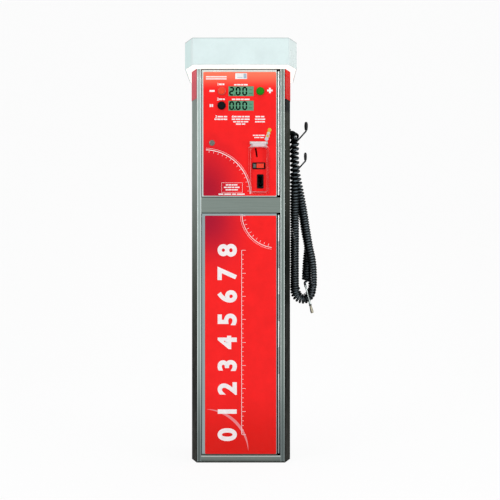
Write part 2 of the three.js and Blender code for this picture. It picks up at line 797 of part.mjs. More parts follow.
camOutline.absarc(0, -camLength + camWidth / 2, camWidth / 2, Math.PI, 2 * Math.PI);
addPiece(controlDoor, 'lock_cam', cut(
  panel(camOutline, camFrontY + fitGap, camFrontY + fitGap + camSheet).translate(lockX, 0, lockZ),
  box(lockX - 3 - fitGap, lockX + 3 + fitGap, camFrontY - 1, camFrontY + camSheet + 2,
    lockZ - 3 - fitGap, lockZ + 3 + fitGap),
), chrome);

// ---------------------------------------------------------------- coin mechanism
const acceptorFrontY = doorBackY + fitGap;
const acceptorTop = coinSlotZ + coinSlotLength / 2 + 8;
const acceptorStepZ = rejectZ + rejectBezel.height / 2 + 2;
const acceptorLowerFrontY = doorBackY + rejectPocketDepth + 5;
const acceptorCentreX = coinSlotX + 8;
addPiece(controlDoor, 'coin_acceptor', cut(
  beam(shapeOf([
    [acceptorFrontY, acceptorStepZ], [acceptorFrontY, acceptorTop],
    [acceptorFrontY + acceptorDepth, acceptorTop],
    [acceptorFrontY + acceptorDepth, acceptorTop - acceptorHeight + 14],
    [acceptorFrontY + acceptorDepth - 14, acceptorTop - acceptorHeight],
    [acceptorLowerFrontY, acceptorTop - acceptorHeight], [acceptorLowerFrontY, acceptorStepZ],
  ]), acceptorCentreX - acceptorWidth / 2, acceptorCentreX + acceptorWidth / 2),
  coinSlotCutter(acceptorFrontY + 22),
), blackPlastic);

const bezelHalf = { x: rejectBezel.width / 2, z: rejectBezel.height / 2 };
const rejectButtonGap = 0.4;
addPiece(controlDoor, 'reject_bezel', cut(
  join(
    panel(roundedRectangle(rejectX - bezelHalf.x, rejectX + bezelHalf.x, rejectZ - bezelHalf.z,
      rejectZ + bezelHalf.z, 3), fasciaFrontY - rejectBezel.proud, fasciaFrontY - fitGap),
    box(
      rejectX - bezelHalf.x + rejectBezel.lip,
      rejectX + bezelHalf.x - rejectBezel.lip,
      fasciaFrontY - fitGap,
      doorBackY + rejectPocketDepth + 2,
      rejectZ - bezelHalf.z + 1 + fitGap,
      rejectZ + bezelHalf.z - 1 - fitGap,
    ),
  ),
  box(
    rejectButton.x - rejectButton.width / 2 - rejectButtonGap,
    rejectButton.x + rejectButton.width / 2 + rejectButtonGap,
    fasciaFrontY - rejectBezel.proud - 1,
    doorBackY + rejectPocketDepth,
    rejectZ - rejectButton.height / 2 - rejectButtonGap,
    rejectZ + rejectButton.height / 2 + rejectButtonGap,
  ),
), blackPlastic);
addPiece(controlDoor, 'reject_button', panel(
  roundedRectangle(
    rejectButton.x - rejectButton.width / 2,
    rejectButton.x + rejectButton.width / 2,
    rejectZ - rejectButton.height / 2,
    rejectZ + rejectButton.height / 2,
    1.5,
  ),
  fasciaFrontY - rejectButton.proud,
  doorBackY + rejectPocketDepth - buttonTravel - 0.5,
), buttonFinishes.minus);

// The cup that gives a refused coin back, with a floor that slopes to its front lip
const cupHalf = { x: cupWidth / 2, z: cupHeight / 2 };
const cupFloorRise = 9;
const cupFlangeFrontY = fasciaFrontY - 2;
addPiece(controlDoor, 'coin_return_cup', cut(
  join(
    panel(roundedRectangle(cupX - cupHalf.x, cupX + cupHalf.x, cupZ - cupHalf.z, cupZ + cupHalf.z, 3),
      cupFlangeFrontY, fasciaFrontY - fitGap),
    box(cupX - cupHalf.x + cupWall + fitGap, cupX + cupHalf.x - cupWall - fitGap,
      fasciaFrontY - fitGap, doorBackY + cupDepth,
      cupZ - cupHalf.z + cupWall + fitGap, cupZ + cupHalf.z - cupWall - fitGap),
  ),
  beam(shapeOf([
    [cupFlangeFrontY - 1, cupZ - cupHalf.z + 2 * cupWall],
    [doorBackY + cupDepth - cupWall, cupZ - cupHalf.z + 2 * cupWall + cupFloorRise],
    [doorBackY + cupDepth - cupWall, cupZ + cupHalf.z - 2 * cupWall],
    [cupFlangeFrontY - 1, cupZ + cupHalf.z - 2 * cupWall],
  ]), cupX - cupHalf.x + 2 * cupWall, cupX + cupHalf.x - 2 * cupWall),
), blackPlastic);

// ---------------------------------------------------------------- clear rain flap
const flapPinY = fasciaFrontY - flapPinStandoff;
const bracketSheet = 1.5;
const earCentre = flapHingeWidth / 2 + flapEarWidth / 2 + 0.6;
const bracketHalf = earCentre + flapEarWidth / 2;
addPiece(controlDoor, 'flap_pin', join(
  box(flapX - bracketHalf, flapX + bracketHalf, fasciaFrontY - bracketSheet, fasciaFrontY,
    flapPinZ - 4, flapPinZ + 7),
  ...[-1, 1].map((side) => box(
    flapX + side * earCentre - flapEarWidth / 2,
    flapX + side * earCentre + flapEarWidth / 2,
    flapPinY - flapBarrelRadius,
    fasciaFrontY,
    flapPinZ - 4,
    flapPinZ + 4,
  )),
  rod(flapPinRadius, 2 * bracketHalf, [flapX - bracketHalf, flapPinY, flapPinZ], rightwards, 12),
), chrome);

// The flap's outline in X and Z, from the pin downwards, drawn in by a margin.
function flapOutline(margin) {
  const half = flapWidth / 2 - margin;
  const top = flapPinZ - 2 - margin;
  return shapeOf([
    [-flapHingeWidth / 2 + margin, top], [-flapHingeWidth / 2 + margin, flapPinZ - flapNeck - margin],
    [-half, flapPinZ - flapShoulder - margin],
    [-half, flapPinZ - flapDrop + margin + 4], [-half + 4, flapPinZ - flapDrop + margin],
    [half - 4, flapPinZ - flapDrop + margin], [half, flapPinZ - flapDrop + margin + 4],
    [half, flapPinZ - flapShoulder - margin], [flapHingeWidth / 2 - margin, flapPinZ - flapNeck - margin],
    [flapHingeWidth / 2 - margin, top],
  ]);
}
const flapRimBackY = fasciaFrontY - 0.7;
const flapTray = (margin, yFront, yBack) => panel(flapOutline(margin), yFront, yBack).translate(flapX, 0, 0);
addPiece(controlDoor, 'coin_flap', cut(
  join(
    flapTray(0, flapRimBackY - flapWall, flapRimBackY),
    flapTray(flapRim, flapRimBackY - flapTrayDepth, flapRimBackY - flapWall),
    box(flapX - flapHingeWidth / 2 + flapRim, flapX + flapHingeWidth / 2 - flapRim,
      flapPinY - flapBarrelRadius, flapPinY - flapBarrelRadius + flapWall,
      flapPinZ - 2 - flapRim - flapWall / 2, flapPinZ),
    rod(flapBarrelRadius, flapHingeWidth, [flapX - flapHingeWidth / 2, flapPinY, flapPinZ], rightwards),
  ),
  flapTray(flapRim + flapWall, flapRimBackY - flapTrayDepth + flapWall, flapRimBackY + 1),
  rod(flapPinRadius + fitGap, flapWidth, [flapX - flapWidth / 2, flapPinY, flapPinZ], rightwards),
  box(flapX - flapWidth, flapX + flapWidth, fasciaFrontY - bracketSheet - 0.5, fasciaFrontY + 1,
    flapPinZ - 6, flapPinZ + 8),
), clearPlastic);

// ---------------------------------------------------------------- inside the upper compartment
const shelfTop = crossRailTop - shelfBelowRailTop;
const shelfLine = bodyInnerLine(fitGap);
const boltAccess = { width: 60, depth: 35 };
const shelfFrontY = frameBackY + 0.5;
const supplyHoleRadius = 9;
const supplyX = 10;
const supplyY = 100;
addPiece(pillar, 'mid_shelf', cut(
  plate(shapeOf(shelfLine), shelfTop - shelfThickness, shelfTop),
  box(-bodyWidth, bodyWidth, frontY - 1, shelfFrontY, shelfTop - 5, shelfTop + 5),
  box(-boltAccess.width / 2, boltAccess.width / 2, frontY - 1, shelfFrontY + boltAccess.depth,
    shelfTop - 5, shelfTop + 5),
  rod(supplyHoleRadius, 10, [supplyX, supplyY, shelfTop - 5], upwards),
), greySheet);

const equipmentHalf = 145;
const equipmentBackY = backY - sheet - fitGap;
const equipmentFrontY = equipmentBackY - equipmentStandoff;
const equipmentTop = headBottom - 14;
addPiece(pillar, 'equipment_plate', plate(foldedSection([
  [-equipmentHalf, equipmentBackY], [-equipmentHalf, equipmentFrontY],
  [equipmentHalf, equipmentFrontY], [equipmentHalf, equipmentBackY],
], equipmentSheet), shelfTop, equipmentTop), greySheet);

const controlBox = { x: -80, z: shelfTop + 348.2, width: 120, height: 200, depth: 45 };
const powerSupply = { x: -80, z: shelfTop + 133.2, width: 110, height: 160, depth: 36 };
function boxOnPlate({ x, z, width, height, depth }) {
  return box(x - width / 2, x + width / 2, equipmentFrontY - depth, equipmentFrontY,
    z - height / 2, z + height / 2);
}
const coverLip = 3;
addPiece(pillar, 'control_box', join(
  boxOnPlate({ ...controlBox, depth: controlBox.depth - 12 }),
  panel(roundedRectangle(
    controlBox.x - controlBox.width / 2 - coverLip,
    controlBox.x + controlBox.width / 2 + coverLip,
    controlBox.z - controlBox.height / 2 - coverLip,
    controlBox.z + controlBox.height / 2 + coverLip,
    6,
  ), equipmentFrontY - controlBox.depth, equipmentFrontY - controlBox.depth + 12),
), finish('#b9bdbb', 0.6, 0));
addPiece(pillar, 'power_supply', cut(
  boxOnPlate(powerSupply),
  ...Array.from({ length: 6 }, (_, i) => {
    const z = powerSupply.z - 50 + i * 20;
    return box(powerSupply.x - 40, powerSupply.x + 40, equipmentFrontY - powerSupply.depth - 1,
      equipmentFrontY - powerSupply.depth + 2, z - 3, z + 3);
  }),
), greySheet);

const valveBlock = { x: 70, z: shelfTop + 263.2, width: 80, height: 36, depth: 44 };
const blockMiddleY = equipmentFrontY - valveBlock.depth / 2;
const blockTop = valveBlock.z + valveBlock.height / 2;
addPiece(pillar, 'valve_block', boxOnPlate(valveBlock), finish('#b5b9bb', 0.4, 1));
const solenoidProfile = [
  [0, 0], [9, 0], [9, 8], [15, 8], [15, 42], [11, 45], [6, 45], [6, 52], [0, 52],
];
for (const [name, offset] of [['inflate_valve', -20], ['deflate_valve', 20]]) {
  addPiece(pillar, name, turned(solenoidProfile, [valveBlock.x + offset, blockMiddleY, blockTop], upwards),
    blackPlastic);
}
const sensorProfile = [[0, 0], [6, 0], [6, 8], [11, 8], [11, 32], [8, 35], [0, 35]];
addPiece(pillar, 'pressure_sensor', turned(
  sensorProfile,
  [valveBlock.x - valveBlock.width / 2, blockMiddleY, valveBlock.z],
  leftwards,
  16,
), chrome);

addPiece(pillar, 'cash_box', cut(
  box(coinSlotX - 30, coinSlotX - 30 + cashBox.width, frameBackY + 5, frameBackY + 5 + cashBox.depth,
    shelfTop, shelfTop + cashBox.height),
  box(coinSlotX - 30 + cashBox.wall, coinSlotX - 30 + cashBox.width - cashBox.wall,
    frameBackY + 5 + cashBox.wall, frameBackY + 5 + cashBox.depth - cashBox.wall,
    shelfTop + cashBox.wall, shelfTop + cashBox.height - cashBox.wall),
  box(coinSlotX - 10, coinSlotX + 50, frameBackY + 25, frameBackY + 45,
    shelfTop + cashBox.height - cashBox.wall - 1, shelfTop + cashBox.height + 1),
), greySheet);

// ---------------------------------------------------------------- compressor, tank and pipes
const tankX = -80;
const tankY = 45;
const tankFoot = 22;
const tankBottom = basePlateThickness + tankFoot;
const tankTop = shelfTop - tankBelowShelf;
const domeHeight = 28;
const bossRadius = 10;
const bossHeight = 12;
addPiece(pillar, 'air_tank', join(
  turned([
    [0, tankBottom], [tankRadius * 0.55, tankBottom + 4], [tankRadius * 0.9, tankBottom + domeHeight * 0.55],
    [tankRadius, tankBottom + domeHeight], [tankRadius, tankTop - domeHeight],
    [tankRadius * 0.9, tankTop - domeHeight * 0.55], [tankRadius * 0.55, tankTop - 4], [0, tankTop],
  ], [tankX, tankY, 0], upwards, 20),
  turned([
    [tankRadius * 0.72, basePlateThickness], [tankRadius * 0.76, basePlateThickness],
    [tankRadius * 0.76, tankBottom + 12], [tankRadius * 0.72, tankBottom + 12],
    [tankRadius * 0.72, basePlateThickness],
  ], [tankX, tankY, 0], upwards, 20),
  rod(bossRadius, bossHeight + 4, [tankX, tankY, tankTop - 4], upwards),
), finish('#2c4f7c', 0.4, 0.1));

const compressorX = 85;
const compressorY = 20;
const rubberFoot = { radius: 10, height: 14 };
const trayHalf = { x: 66, y: 72 };
const trayBottom = basePlateThickness + rubberFoot.height;
const trayTop = trayBottom + 4;
const motorRadius = 48;
const motorZ = trayTop + motorRadius + 2;
const finCount = 5;
const finPitch = 10;
const headBase = motorZ + motorRadius - 6;
const finProfile = [[0, 0]];
for (let i = 0; i < finCount; i += 1) {
  finProfile.push([36, i * finPitch], [36, i * finPitch + 3]);
  finProfile.push([27, i * finPitch + 3], [27, (i + 1) * finPitch]);
}
finProfile.push([32, finCount * finPitch], [32, finCount * finPitch + 14], [0, finCount * finPitch + 14]);
const headY = compressorY - 32;
const portZ = headBase + finCount * finPitch + 7;
const deliveryEndX = tankX + Math.sqrt(tankRadius ** 2 - (tankY - compressorY) ** 2) + 2.5;
addPiece(pillar, 'compressor', join(
  box(compressorX - trayHalf.x, compressorX + trayHalf.x, compressorY - trayHalf.y, compressorY + trayHalf.y,
    trayBottom, trayTop),
  ...[[1, 1], [1, -1], [-1, 1], [-1, -1]].map(([sx, sy]) => rod(
    rubberFoot.radius,
    rubberFoot.height + 1,
    [compressorX + sx * (trayHalf.x - 14), compressorY + sy * (trayHalf.y - 14), basePlateThickness],
    upwards,
    12,
  )),
  box(compressorX - 34, compressorX + 34, compressorY - 60, compressorY + 50, trayTop - 1, motorZ),
  turned([
    [0, 0], [motorRadius - 6, 0], [motorRadius, 6], [motorRadius, 118], [motorRadius - 3, 118],
    [motorRadius - 3, 124], [motorRadius - 10, 132], [0, 132],
  ], [compressorX, compressorY - 66, motorZ], rearwards, 18),
  turned(finProfile, [compressorX, headY, headBase], upwards),
  bentRod([
    [compressorX - 30, headY, portZ], [compressorX - 45, headY, portZ],
    [compressorX - 62, headY + 10, portZ + 2], [deliveryEndX + 14, compressorY - 4, portZ + 4],
    [deliveryEndX, compressorY, portZ + 4],
  ], pipeRadius, 9),
), finish('#3c4248', 0.5, 0.4));

const supplyTop = valveBlock.z - valveBlock.height / 2 - fitGap;
const supplyEndX = valveBlock.x - 20;
addPiece(pillar, 'supply_pipe', bentRod([
  [tankX, tankY, tankTop + bossHeight + fitGap], [tankX, tankY, tankTop + bossHeight + 40],
  [tankX + 20, tankY + 15, tankTop + 110], [supplyX - 6, supplyY - 6, shelfTop - 90],
  [supplyX, supplyY, shelfTop - 40], [supplyX, supplyY, shelfTop + 40],
  [supplyX + 12, supplyY, shelfTop + 100], [supplyEndX, blockMiddleY, supplyTop - 50],
  [supplyEndX, blockMiddleY, supplyTop],
], pipeRadius, 22), brass);

// ---------------------------------------------------------------- hose outlet
const wallX = bodyWidth / 2;
const hoseX = wallX + coilDiameter / 2 + 0.6;
const outletFlange = { radius: 13, thickness: 3 };
const outletNut = { radius: 12, height: 8 };
const outletNutInnerX = wallX - sheet - outletNut.height;
const flangeSeat = outletNut.height + sheet + fitGap;
const elbowRadius = 6;
const elbowDrop = 14;
addPiece(pillar, 'hose_outlet', join(
  turned([
    [0, 0], [outletNut.radius, 0], [outletNut.radius, outletNut.height - fitGap],
    [outletHoleRadius - 0.4, outletNut.height - fitGap], [outletHoleRadius - 0.4, flangeSeat],
    [outletFlange.radius, flangeSeat], [outletFlange.radius, flangeSeat + outletFlange.thickness],
    [0, flangeSeat + outletFlange.thickness],
  ], [outletNutInnerX, outletY, outletZ], rightwards),
  bentRod([
    [wallX + 1, outletY, outletZ], [hoseX - 8, outletY, outletZ], [hoseX - 1.5, outletY, outletZ - 3],
    [hoseX, outletY, outletZ - 9], [hoseX, outletY, outletZ - elbowDrop],
  ], elbowRadius, 7, 10),
), blackPlastic);
const blockSideX = valveBlock.x + valveBlock.width / 2;
const pipeLead = 12;               // of pipe that runs straight out of a fitting
const pipeLoopX = outletNutInnerX - 2 * pipeLead;
addPiece(pillar, 'outlet_pipe', bentRod([
  [blockSideX + fitGap, blockMiddleY, valveBlock.z], [blockSideX + pipeLead, blockMiddleY, valveBlock.z],
  [pipeLoopX, blockMiddleY - 2 * pipeLead, outletZ - pipeLead],
  [pipeLoopX + pipeLead / 2, blockMiddleY / 4, outletZ - pipeLead / 2],
  [pipeLoopX, outletY / 2, outletZ], [pipeLoopX + pipeLead / 2, outletY + pipeLead, outletZ],
  [outletNutInnerX - pipeLead / 2, outletY, outletZ], [outletNutInnerX - fitGap, outletY, outletZ],
], pipeRadius, 20), blackRubber);

// ---------------------------------------------------------------- hooks
// Each hook is a rod bent up from a round foot on the wall, with a rubber cap pushed on its end.
// Heights are drops below the hose outlet; the bend is where the rod turns upright.
const hooks = {
  upper: { footDrop: 57.5, bendX: 247.3, bendDrop: -11, capHeight: 32.7, capRadius: 7 },
  lower: { footDrop: 167.5, bendX: 244.6, bendDrop: 103.2, capHeight: 30, capRadius: 5.8 },
};
const hookFoot = { radius: 10, thickness: 3 };
const capSeat = 3;
for (const [name, { footDrop, bendX, bendDrop, capHeight, capRadius }] of Object.entries(hooks)) {
  const footZ = outletZ - footDrop;
  const bendZ = outletZ - bendDrop;
  const footX = wallX + fitGap;
  const rodStartX = footX + hookFoot.thickness;
  const slant = new THREE.Vector3(bendX - rodStartX, 0, bendZ - footZ);
  const rodTop = bendZ + capSeat + capHeight - 8;
  addPiece(pillar, `${name}_hook`, join(
    rod(hookFoot.radius, hookFoot.thickness, [footX, hookY, footZ], rightwards),
    rod(hookRodRadius, slant.length(), [rodStartX, hookY, footZ], slant.clone().normalize(), 12),
    new THREE.SphereGeometry(hookRodRadius, 12, 8).rotateX(Math.PI / 2).translate(bendX, hookY, bendZ),
    rod(hookRodRadius, rodTop - bendZ, [bendX, hookY, bendZ], upwards, 12),
  ), chrome);
  const capFoot = bendZ + capSeat;
  const capPoints = [[0, rodTop + 0.5 - capFoot], [hookRodRadius + fitGap, rodTop + 0.5 - capFoot],
    [hookRodRadius + fitGap, 0], [capRadius * 0.75, 0]];
  for (let i = 1; i <= 6; i += 1) {
    const angle = -1.05 + (i * (Math.PI / 2 + 1.05)) / 6;
    capPoints.push([capRadius * Math.cos(angle) ** 0.6, (capHeight / 2) * (1 + Math.sin(angle))]);
  }
  capPoints[capPoints.length - 1] = [0, capHeight];
  addPiece(pillar, `${name}_hook_cap`, turned(capPoints, [bendX, hookY, capFoot], upwards, 12), blackRubber);
}

// ---------------------------------------------------------------- curly hose
// The line that the coil follows: down from the outlet, round the bottom, up and over the upper hook,
// and down again behind, to a tail that comes forward through the loop. The third number of a point is
// its drop below the outlet.
const coilRoute = [
  [hoseX, outletY, elbowDrop + fitGap], [hoseX, outletY, 72], [hoseX, outletY, 172],
  [hoseX, outletY, 282], [201.4, -66, 362], [201.8, -48, 452], [202.4, -31, 532], [203.2, -21, 576],
  [203.5, -16, 597], [208, -12, 613.7], [220.2, -9, 626], [237, -7, 630.5], [253.8, -9, 626],
  [266, -12, 613.7], [270.5, -16, 597], [271.2, -20, 576], [271, -26, 532], [267, -32, 482],
  [256.5, -36, 432], [246, -36, 372], [234.5, -36, 298], [221, -36, 222], [208, -36, 154],
  [203, -36, 100], [203, -36, 42], [203, -28.7, 15.6], [203, -11, 8.3], [203, 6.7, 15.6], [203, 14, 42],
  [203, 14, 100], [208, 14, 154], [221, 14, 222], [234.5, 14, 298], [246, 14, 372], [256, 14, 432],
  [252, 14, 482], [249.5, 13.5, 525], [248.6, 12, 545], [247.6, 6, 560],
];
const tailRoute = [
  [246.4, -4, 563], [244.5, -13, 563.6], [242.5, -20.5, 564.6], [241.5, -25, 568], [243.5, -28, 576],
];
const belowOutlet = ([x, y, drop]) => new THREE.Vector3(x, y, outletZ - drop);
const chuckStart = belowOutlet([243.5, -28, 576]);
const chuckTip = belowOutlet([269, -46, 680]);

function hoseCentres() {
  const route = [...coilRoute, ...tailRoute].map(belowOutlet);
  const line = new THREE.CatmullRomCurve3(route, false, 'centripetal');
  line.arcLengthDivisions = 4000;
  const length = line.getLength();
  const coilEndU = (() => {
    const target = belowOutlet(coilRoute.at(-1));
    let best = 1;
    let nearest = Infinity;
    for (let i = 0; i <= 4000; i += 1) {
      const distance = line.getPointAt(i / 4000).distanceTo(target);
      if (distance < nearest) {
        nearest = distance;
        best = i / 4000;
      }
    }
    return best;
  })();
  const coilStart = hoseDiameter;
  const coilEnd = coilEndU * length;
  const radius = (coilDiameter - hoseDiameter) / 2;
  const ramp = { start: 20, end: 12 };
  // The curls stand further apart near the outlet, over the hook and round the bottom, where their
  // own weight also opens them a little in the plane of the bend.
  const dropAt = (s) => outletZ - line.getPointAt(s / length).z;
  const nearBottom = (s) => (s < 0.6 * length ? THREE.MathUtils.smoothstep(dropAt(s), 562, 612) : 0);
  const pitchAt = (s) => {
    const nearOutlet = 1 - THREE.MathUtils.smoothstep(dropAt(s), 132, 182);
    return curlPitch * (1 + 0.4 * nearOutlet + 0.08 * nearBottom(s));
  };
  const openAt = (s) => 1 + 0.15 * nearBottom(s);
  const centres = [];
  const fine = 0.5;
  const stepAngle = (2 * Math.PI) / curlSteps;
  let side = new THREE.Vector3(1, 0, 0);
  let phase = 0;
  let nextPhase = 0;
  let curls = 0;
  centres.push(line.getPointAt(0), line.getPointAt(hoseDiameter / length));
  for (let s = coilStart; s < coilEnd; s += fine) {
    const u = s / length;
    const tangent = line.getTangentAt(u);
    side = side.clone().addScaledVector(tangent, -side.dot(tangent)).normalize();
    phase += (2 * Math.PI * fine) / pitchAt(s);
    if (phase >= nextPhase) {
      const other = new THREE.Vector3().crossVectors(tangent, side);
      const grown = Math.min(1, (s - coilStart) / ramp.start, (coilEnd - s) / ramp.end);
      const r = radius * Math.sin((Math.PI / 2) * Math.max(grown, 0));
      centres.push(line.getPointAt(u)
        .addScaledVector(side, r * openAt(s) * Math.cos(nextPhase))
        .addScaledVector(other, r * Math.sin(nextPhase)));
      nextPhase += stepAngle;
      curls = nextPhase / (2 * Math.PI);
    }
  }
  // The tail follows the route, but for its last two diameters, which turn into the chuck's own line.
  const tailSteps = 4;
  const tailEndU = 1 - (2 * hoseDiameter) / length;
  for (let i = 1; i <= tailSteps; i += 1) {
    centres.push(line.getPointAt(THREE.MathUtils.lerp(coilEndU, tailEndU, i / tailSteps)));
  }
  const axis = chuckTip.clone().sub(chuckStart).normalize();
  const mouth = chuckStart.clone().addScaledVector(axis, -fitGap);
  centres.push(mouth.clone().addScaledVector(axis, -hoseDiameter), mouth);
  return { centres, curls, length };
}

// A closed tube through a list of centres, each ring square to the line there.
function tubeThrough(centres, radius, sides) {
  const positions = [];
  const faces = [];
  let side = new THREE.Vector3(1, 0, 0);
  centres.forEach((centre, i) => {
    const before = centres[Math.max(i - 1, 0)];
    const after = centres[Math.min(i + 1, centres.length - 1)];
    const tangent = after.clone().sub(before).normalize();
    side = side.clone().addScaledVector(tangent, -side.dot(tangent)).normalize();
    const other = new THREE.Vector3().crossVectors(tangent, side);
    for (let k = 0; k < sides; k += 1) {
      const angle = (2 * Math.PI * k) / sides;
      positions.push(...centre.clone()
        .addScaledVector(side, radius * Math.cos(angle))
        .addScaledVector(other, radius * Math.sin(angle)).toArray());
    }
  });
  for (let i = 0; i < centres.length - 1; i += 1) {
    for (let k = 0; k < sides; k += 1) {
      const [a, b] = [i * sides + k, i * sides + ((k + 1) % sides)];
      faces.push(a, b, a + sides, b, b + sides, a + sides);
    }
  }
  const lastRing = (centres.length - 1) * sides;
  for (let k = 1; k < sides - 1; k += 1) {
    faces.push(0, k + 1, k, lastRing, lastRing + k, lastRing + k + 1);
  }
  const geometry = new THREE.BufferGeometry();
  geometry.setAttribute('position', new THREE.Float32BufferAttribute(positions, 3));
  geometry.setIndex(faces);
  return geometry;
}

// The least distance between parts of the tube that are more than a few diameters apart along it.
function leastSelfGap(centres, diameter) {
  const points = [];
  const along = [];
  let travelled = 0;
  const divisions = 3;
  for (let i = 0; i < centres.length - 1; i += 1) {
    const step = centres[i].distanceTo(centres[i + 1]);
    for (let k = 0; k < divisions; k += 1) {
      points.push(centres[i].clone().lerp(centres[i + 1], k / divisions));
      along.push(travelled + (step * k) / divisions);
    }
    travelled += step;
  }
  let least = Infinity;
  for (let i = 0; i < points.length; i += 1) {
    for (let j = i + 1; j < points.length; j += 1) {
      if (along[j] - along[i] > 3 * diameter) least = Math.min(least, points[i].distanceTo(points[j]));
    }
  }
  return { gap: least - diameter, travelled };
}

const hose = hoseCentres();
const hoseGap = leastSelfGap(hose.centres, hoseDiameter);
console.log(`hose: ${hose.curls.toFixed(1)} curls, least gap to itself ${hoseGap.gap.toFixed(2)} mm, `
  + `tube length ${(hoseGap.travelled / 1000).toFixed(2)} m on a route of ${hose.length.toFixed(0)} mm`);
addPiece(pillar, 'hose_coil', tubeThrough(hose.centres, hoseDiameter / 2, hoseSides), blackRubber);

// ---------------------------------------------------------------- chuck
// Heights run from the hose's end to the mouth that goes on the tyre valve.
const chuckGroup = new THREE.Group();
chuckGroup.position.copy(chuckStart);
chuckGroup.quaternion.setFromUnitVectors(upwards, chuckTip.clone().sub(chuckStart).normalize());
pillar.add(chuckGroup);
const chuckLength = chuckTip.distanceTo(chuckStart);
const headLength = 29;
const ringHeight = 4;
const ringStart = chuckLength - headLength - ringHeight;
const stemRod = 2.8;
addPiece(chuckGroup, 'chuck_stem', turned([
  [0, 0], [4.2, 0], [5, 2], [5, 7], [3.6, 10], [stemRod, 12], [stemRod, ringStart - 14],
  [4.2, ringStart - 12], [4.6, ringStart - 10], [4.6, ringStart - fitGap], [0, ringStart - fitGap],
], [0, 0, 0], upwards, 16), chrome);
addPiece(chuckGroup, 'chuck_ring', turned([
  [0, 0], [4.8, 0], [5.4, 0.8], [5.4, ringHeight - 0.8], [4.8, ringHeight], [0, ringHeight],
], [0, 0, ringStart], upwards, 16), blackRubber);
addPiece(chuckGroup, 'chuck_head', turned([
  [0, fitGap], [4.4, fitGap], [4.8, 5], [5.4, 12], [6, 20], [6, 25], [5, headLength], [3.9, headLength],
  [3.9, headLength - 9], [0, headLength - 9],
], [0, 0, ringStart + ringHeight], upwards, 16), brass);

export default pillar;
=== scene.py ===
"""The looks of a free-standing tyre inflator pillar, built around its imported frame.
Metres, +Z up, the front at -Y."""
import json
import math
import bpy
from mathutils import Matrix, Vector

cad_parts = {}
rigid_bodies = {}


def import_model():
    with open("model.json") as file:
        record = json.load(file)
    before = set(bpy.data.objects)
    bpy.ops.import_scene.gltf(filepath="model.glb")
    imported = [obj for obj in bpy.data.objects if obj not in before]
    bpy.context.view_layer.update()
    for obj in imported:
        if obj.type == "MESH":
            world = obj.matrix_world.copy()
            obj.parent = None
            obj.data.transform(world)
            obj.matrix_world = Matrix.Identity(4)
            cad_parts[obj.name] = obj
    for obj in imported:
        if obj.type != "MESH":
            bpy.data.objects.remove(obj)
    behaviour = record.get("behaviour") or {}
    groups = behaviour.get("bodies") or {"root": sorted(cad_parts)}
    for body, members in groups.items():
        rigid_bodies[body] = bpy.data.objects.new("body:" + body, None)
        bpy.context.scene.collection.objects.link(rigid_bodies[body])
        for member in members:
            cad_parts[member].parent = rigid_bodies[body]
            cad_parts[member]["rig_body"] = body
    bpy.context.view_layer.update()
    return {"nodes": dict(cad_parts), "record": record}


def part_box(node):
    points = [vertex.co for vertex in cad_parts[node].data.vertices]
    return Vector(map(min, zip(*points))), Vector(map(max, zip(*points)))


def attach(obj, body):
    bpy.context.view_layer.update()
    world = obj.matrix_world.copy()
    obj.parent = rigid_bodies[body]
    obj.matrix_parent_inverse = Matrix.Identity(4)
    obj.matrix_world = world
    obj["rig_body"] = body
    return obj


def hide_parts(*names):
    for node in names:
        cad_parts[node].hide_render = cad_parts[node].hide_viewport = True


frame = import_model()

from types import SimpleNamespace

import bmesh
import bpy
import numpy as np
from mathutils import Vector

# ---- camera
# A long lens looks square on to the front from 4 m away, a little to the right of the pillar and at
# half its height.
camera_distance = 4.0
camera_height = 0.780
camera_right = 0.0335
front_plane = -0.165
camera_data = bpy.data.cameras.new("camera")
camera_data.lens = 78.5
camera_data.sensor_width = 36
camera = bpy.data.objects.new("camera", camera_data)
camera.location = (camera_right, front_plane - camera_distance, camera_height)
camera.rotation_euler = (math.pi / 2, 0, 0)
bpy.context.scene.collection.objects.link(camera)
bpy.context.scene.camera = camera
bpy.context.scene.view_settings.view_transform = "Standard"

# ---- curly hose
# A black polyurethane hose, wound hot into curls of 34 mm that spring back. It leaves the elbow on the
# right wall, hangs down, turns up, goes over the upper hook and down again behind, and its short tail
# comes forward through the loop into the chuck. The routes give X, Y and the drop below the elbow.
outlet_height = 1.222
hose_diameter = 0.009
coil_diameter = 0.034
coil_route = [
    (0.2006, -0.072, 0.0143), (0.2006, -0.072, 0.072), (0.2006, -0.072, 0.172), (0.2006, -0.072, 0.282),
    (0.2014, -0.066, 0.362), (0.2018, -0.048, 0.452), (0.2024, -0.031, 0.532), (0.2032, -0.021, 0.576),
    (0.2035, -0.016, 0.597), (0.208, -0.012, 0.6137), (0.2202, -0.009, 0.626), (0.237, -0.007, 0.6305),
    (0.2538, -0.009, 0.626), (0.266, -0.012, 0.6137), (0.2705, -0.016, 0.597), (0.2712, -0.020, 0.576),
    (0.271, -0.026, 0.532), (0.267, -0.032, 0.482), (0.2565, -0.036, 0.432), (0.246, -0.036, 0.372),
    (0.2345, -0.036, 0.298), (0.221, -0.036, 0.222), (0.208, -0.036, 0.154), (0.203, -0.036, 0.100),
    (0.203, -0.036, 0.042), (0.203, -0.0287, 0.0156), (0.203, -0.011, 0.0083), (0.203, 0.0067, 0.0156),
    (0.203, 0.014, 0.042), (0.203, 0.014, 0.100), (0.208, 0.014, 0.154), (0.221, 0.014, 0.222),
    (0.2345, 0.014, 0.298), (0.246, 0.014, 0.372), (0.256, 0.014, 0.432), (0.252, 0.014, 0.482),
    (0.2495, 0.0135, 0.525), (0.2486, 0.012, 0.545), (0.2476, 0.006, 0.560),
]
tail_route = [
    (0.2464, -0.004, 0.563), (0.2445, -0.013, 0.5636), (0.2425, -0.0205, 0.5646), (0.2415, -0.025, 0.568),
    (0.2435, -0.028, 0.576),
]
chuck_start = np.array((0.2435, -0.028, outlet_height - 0.576))
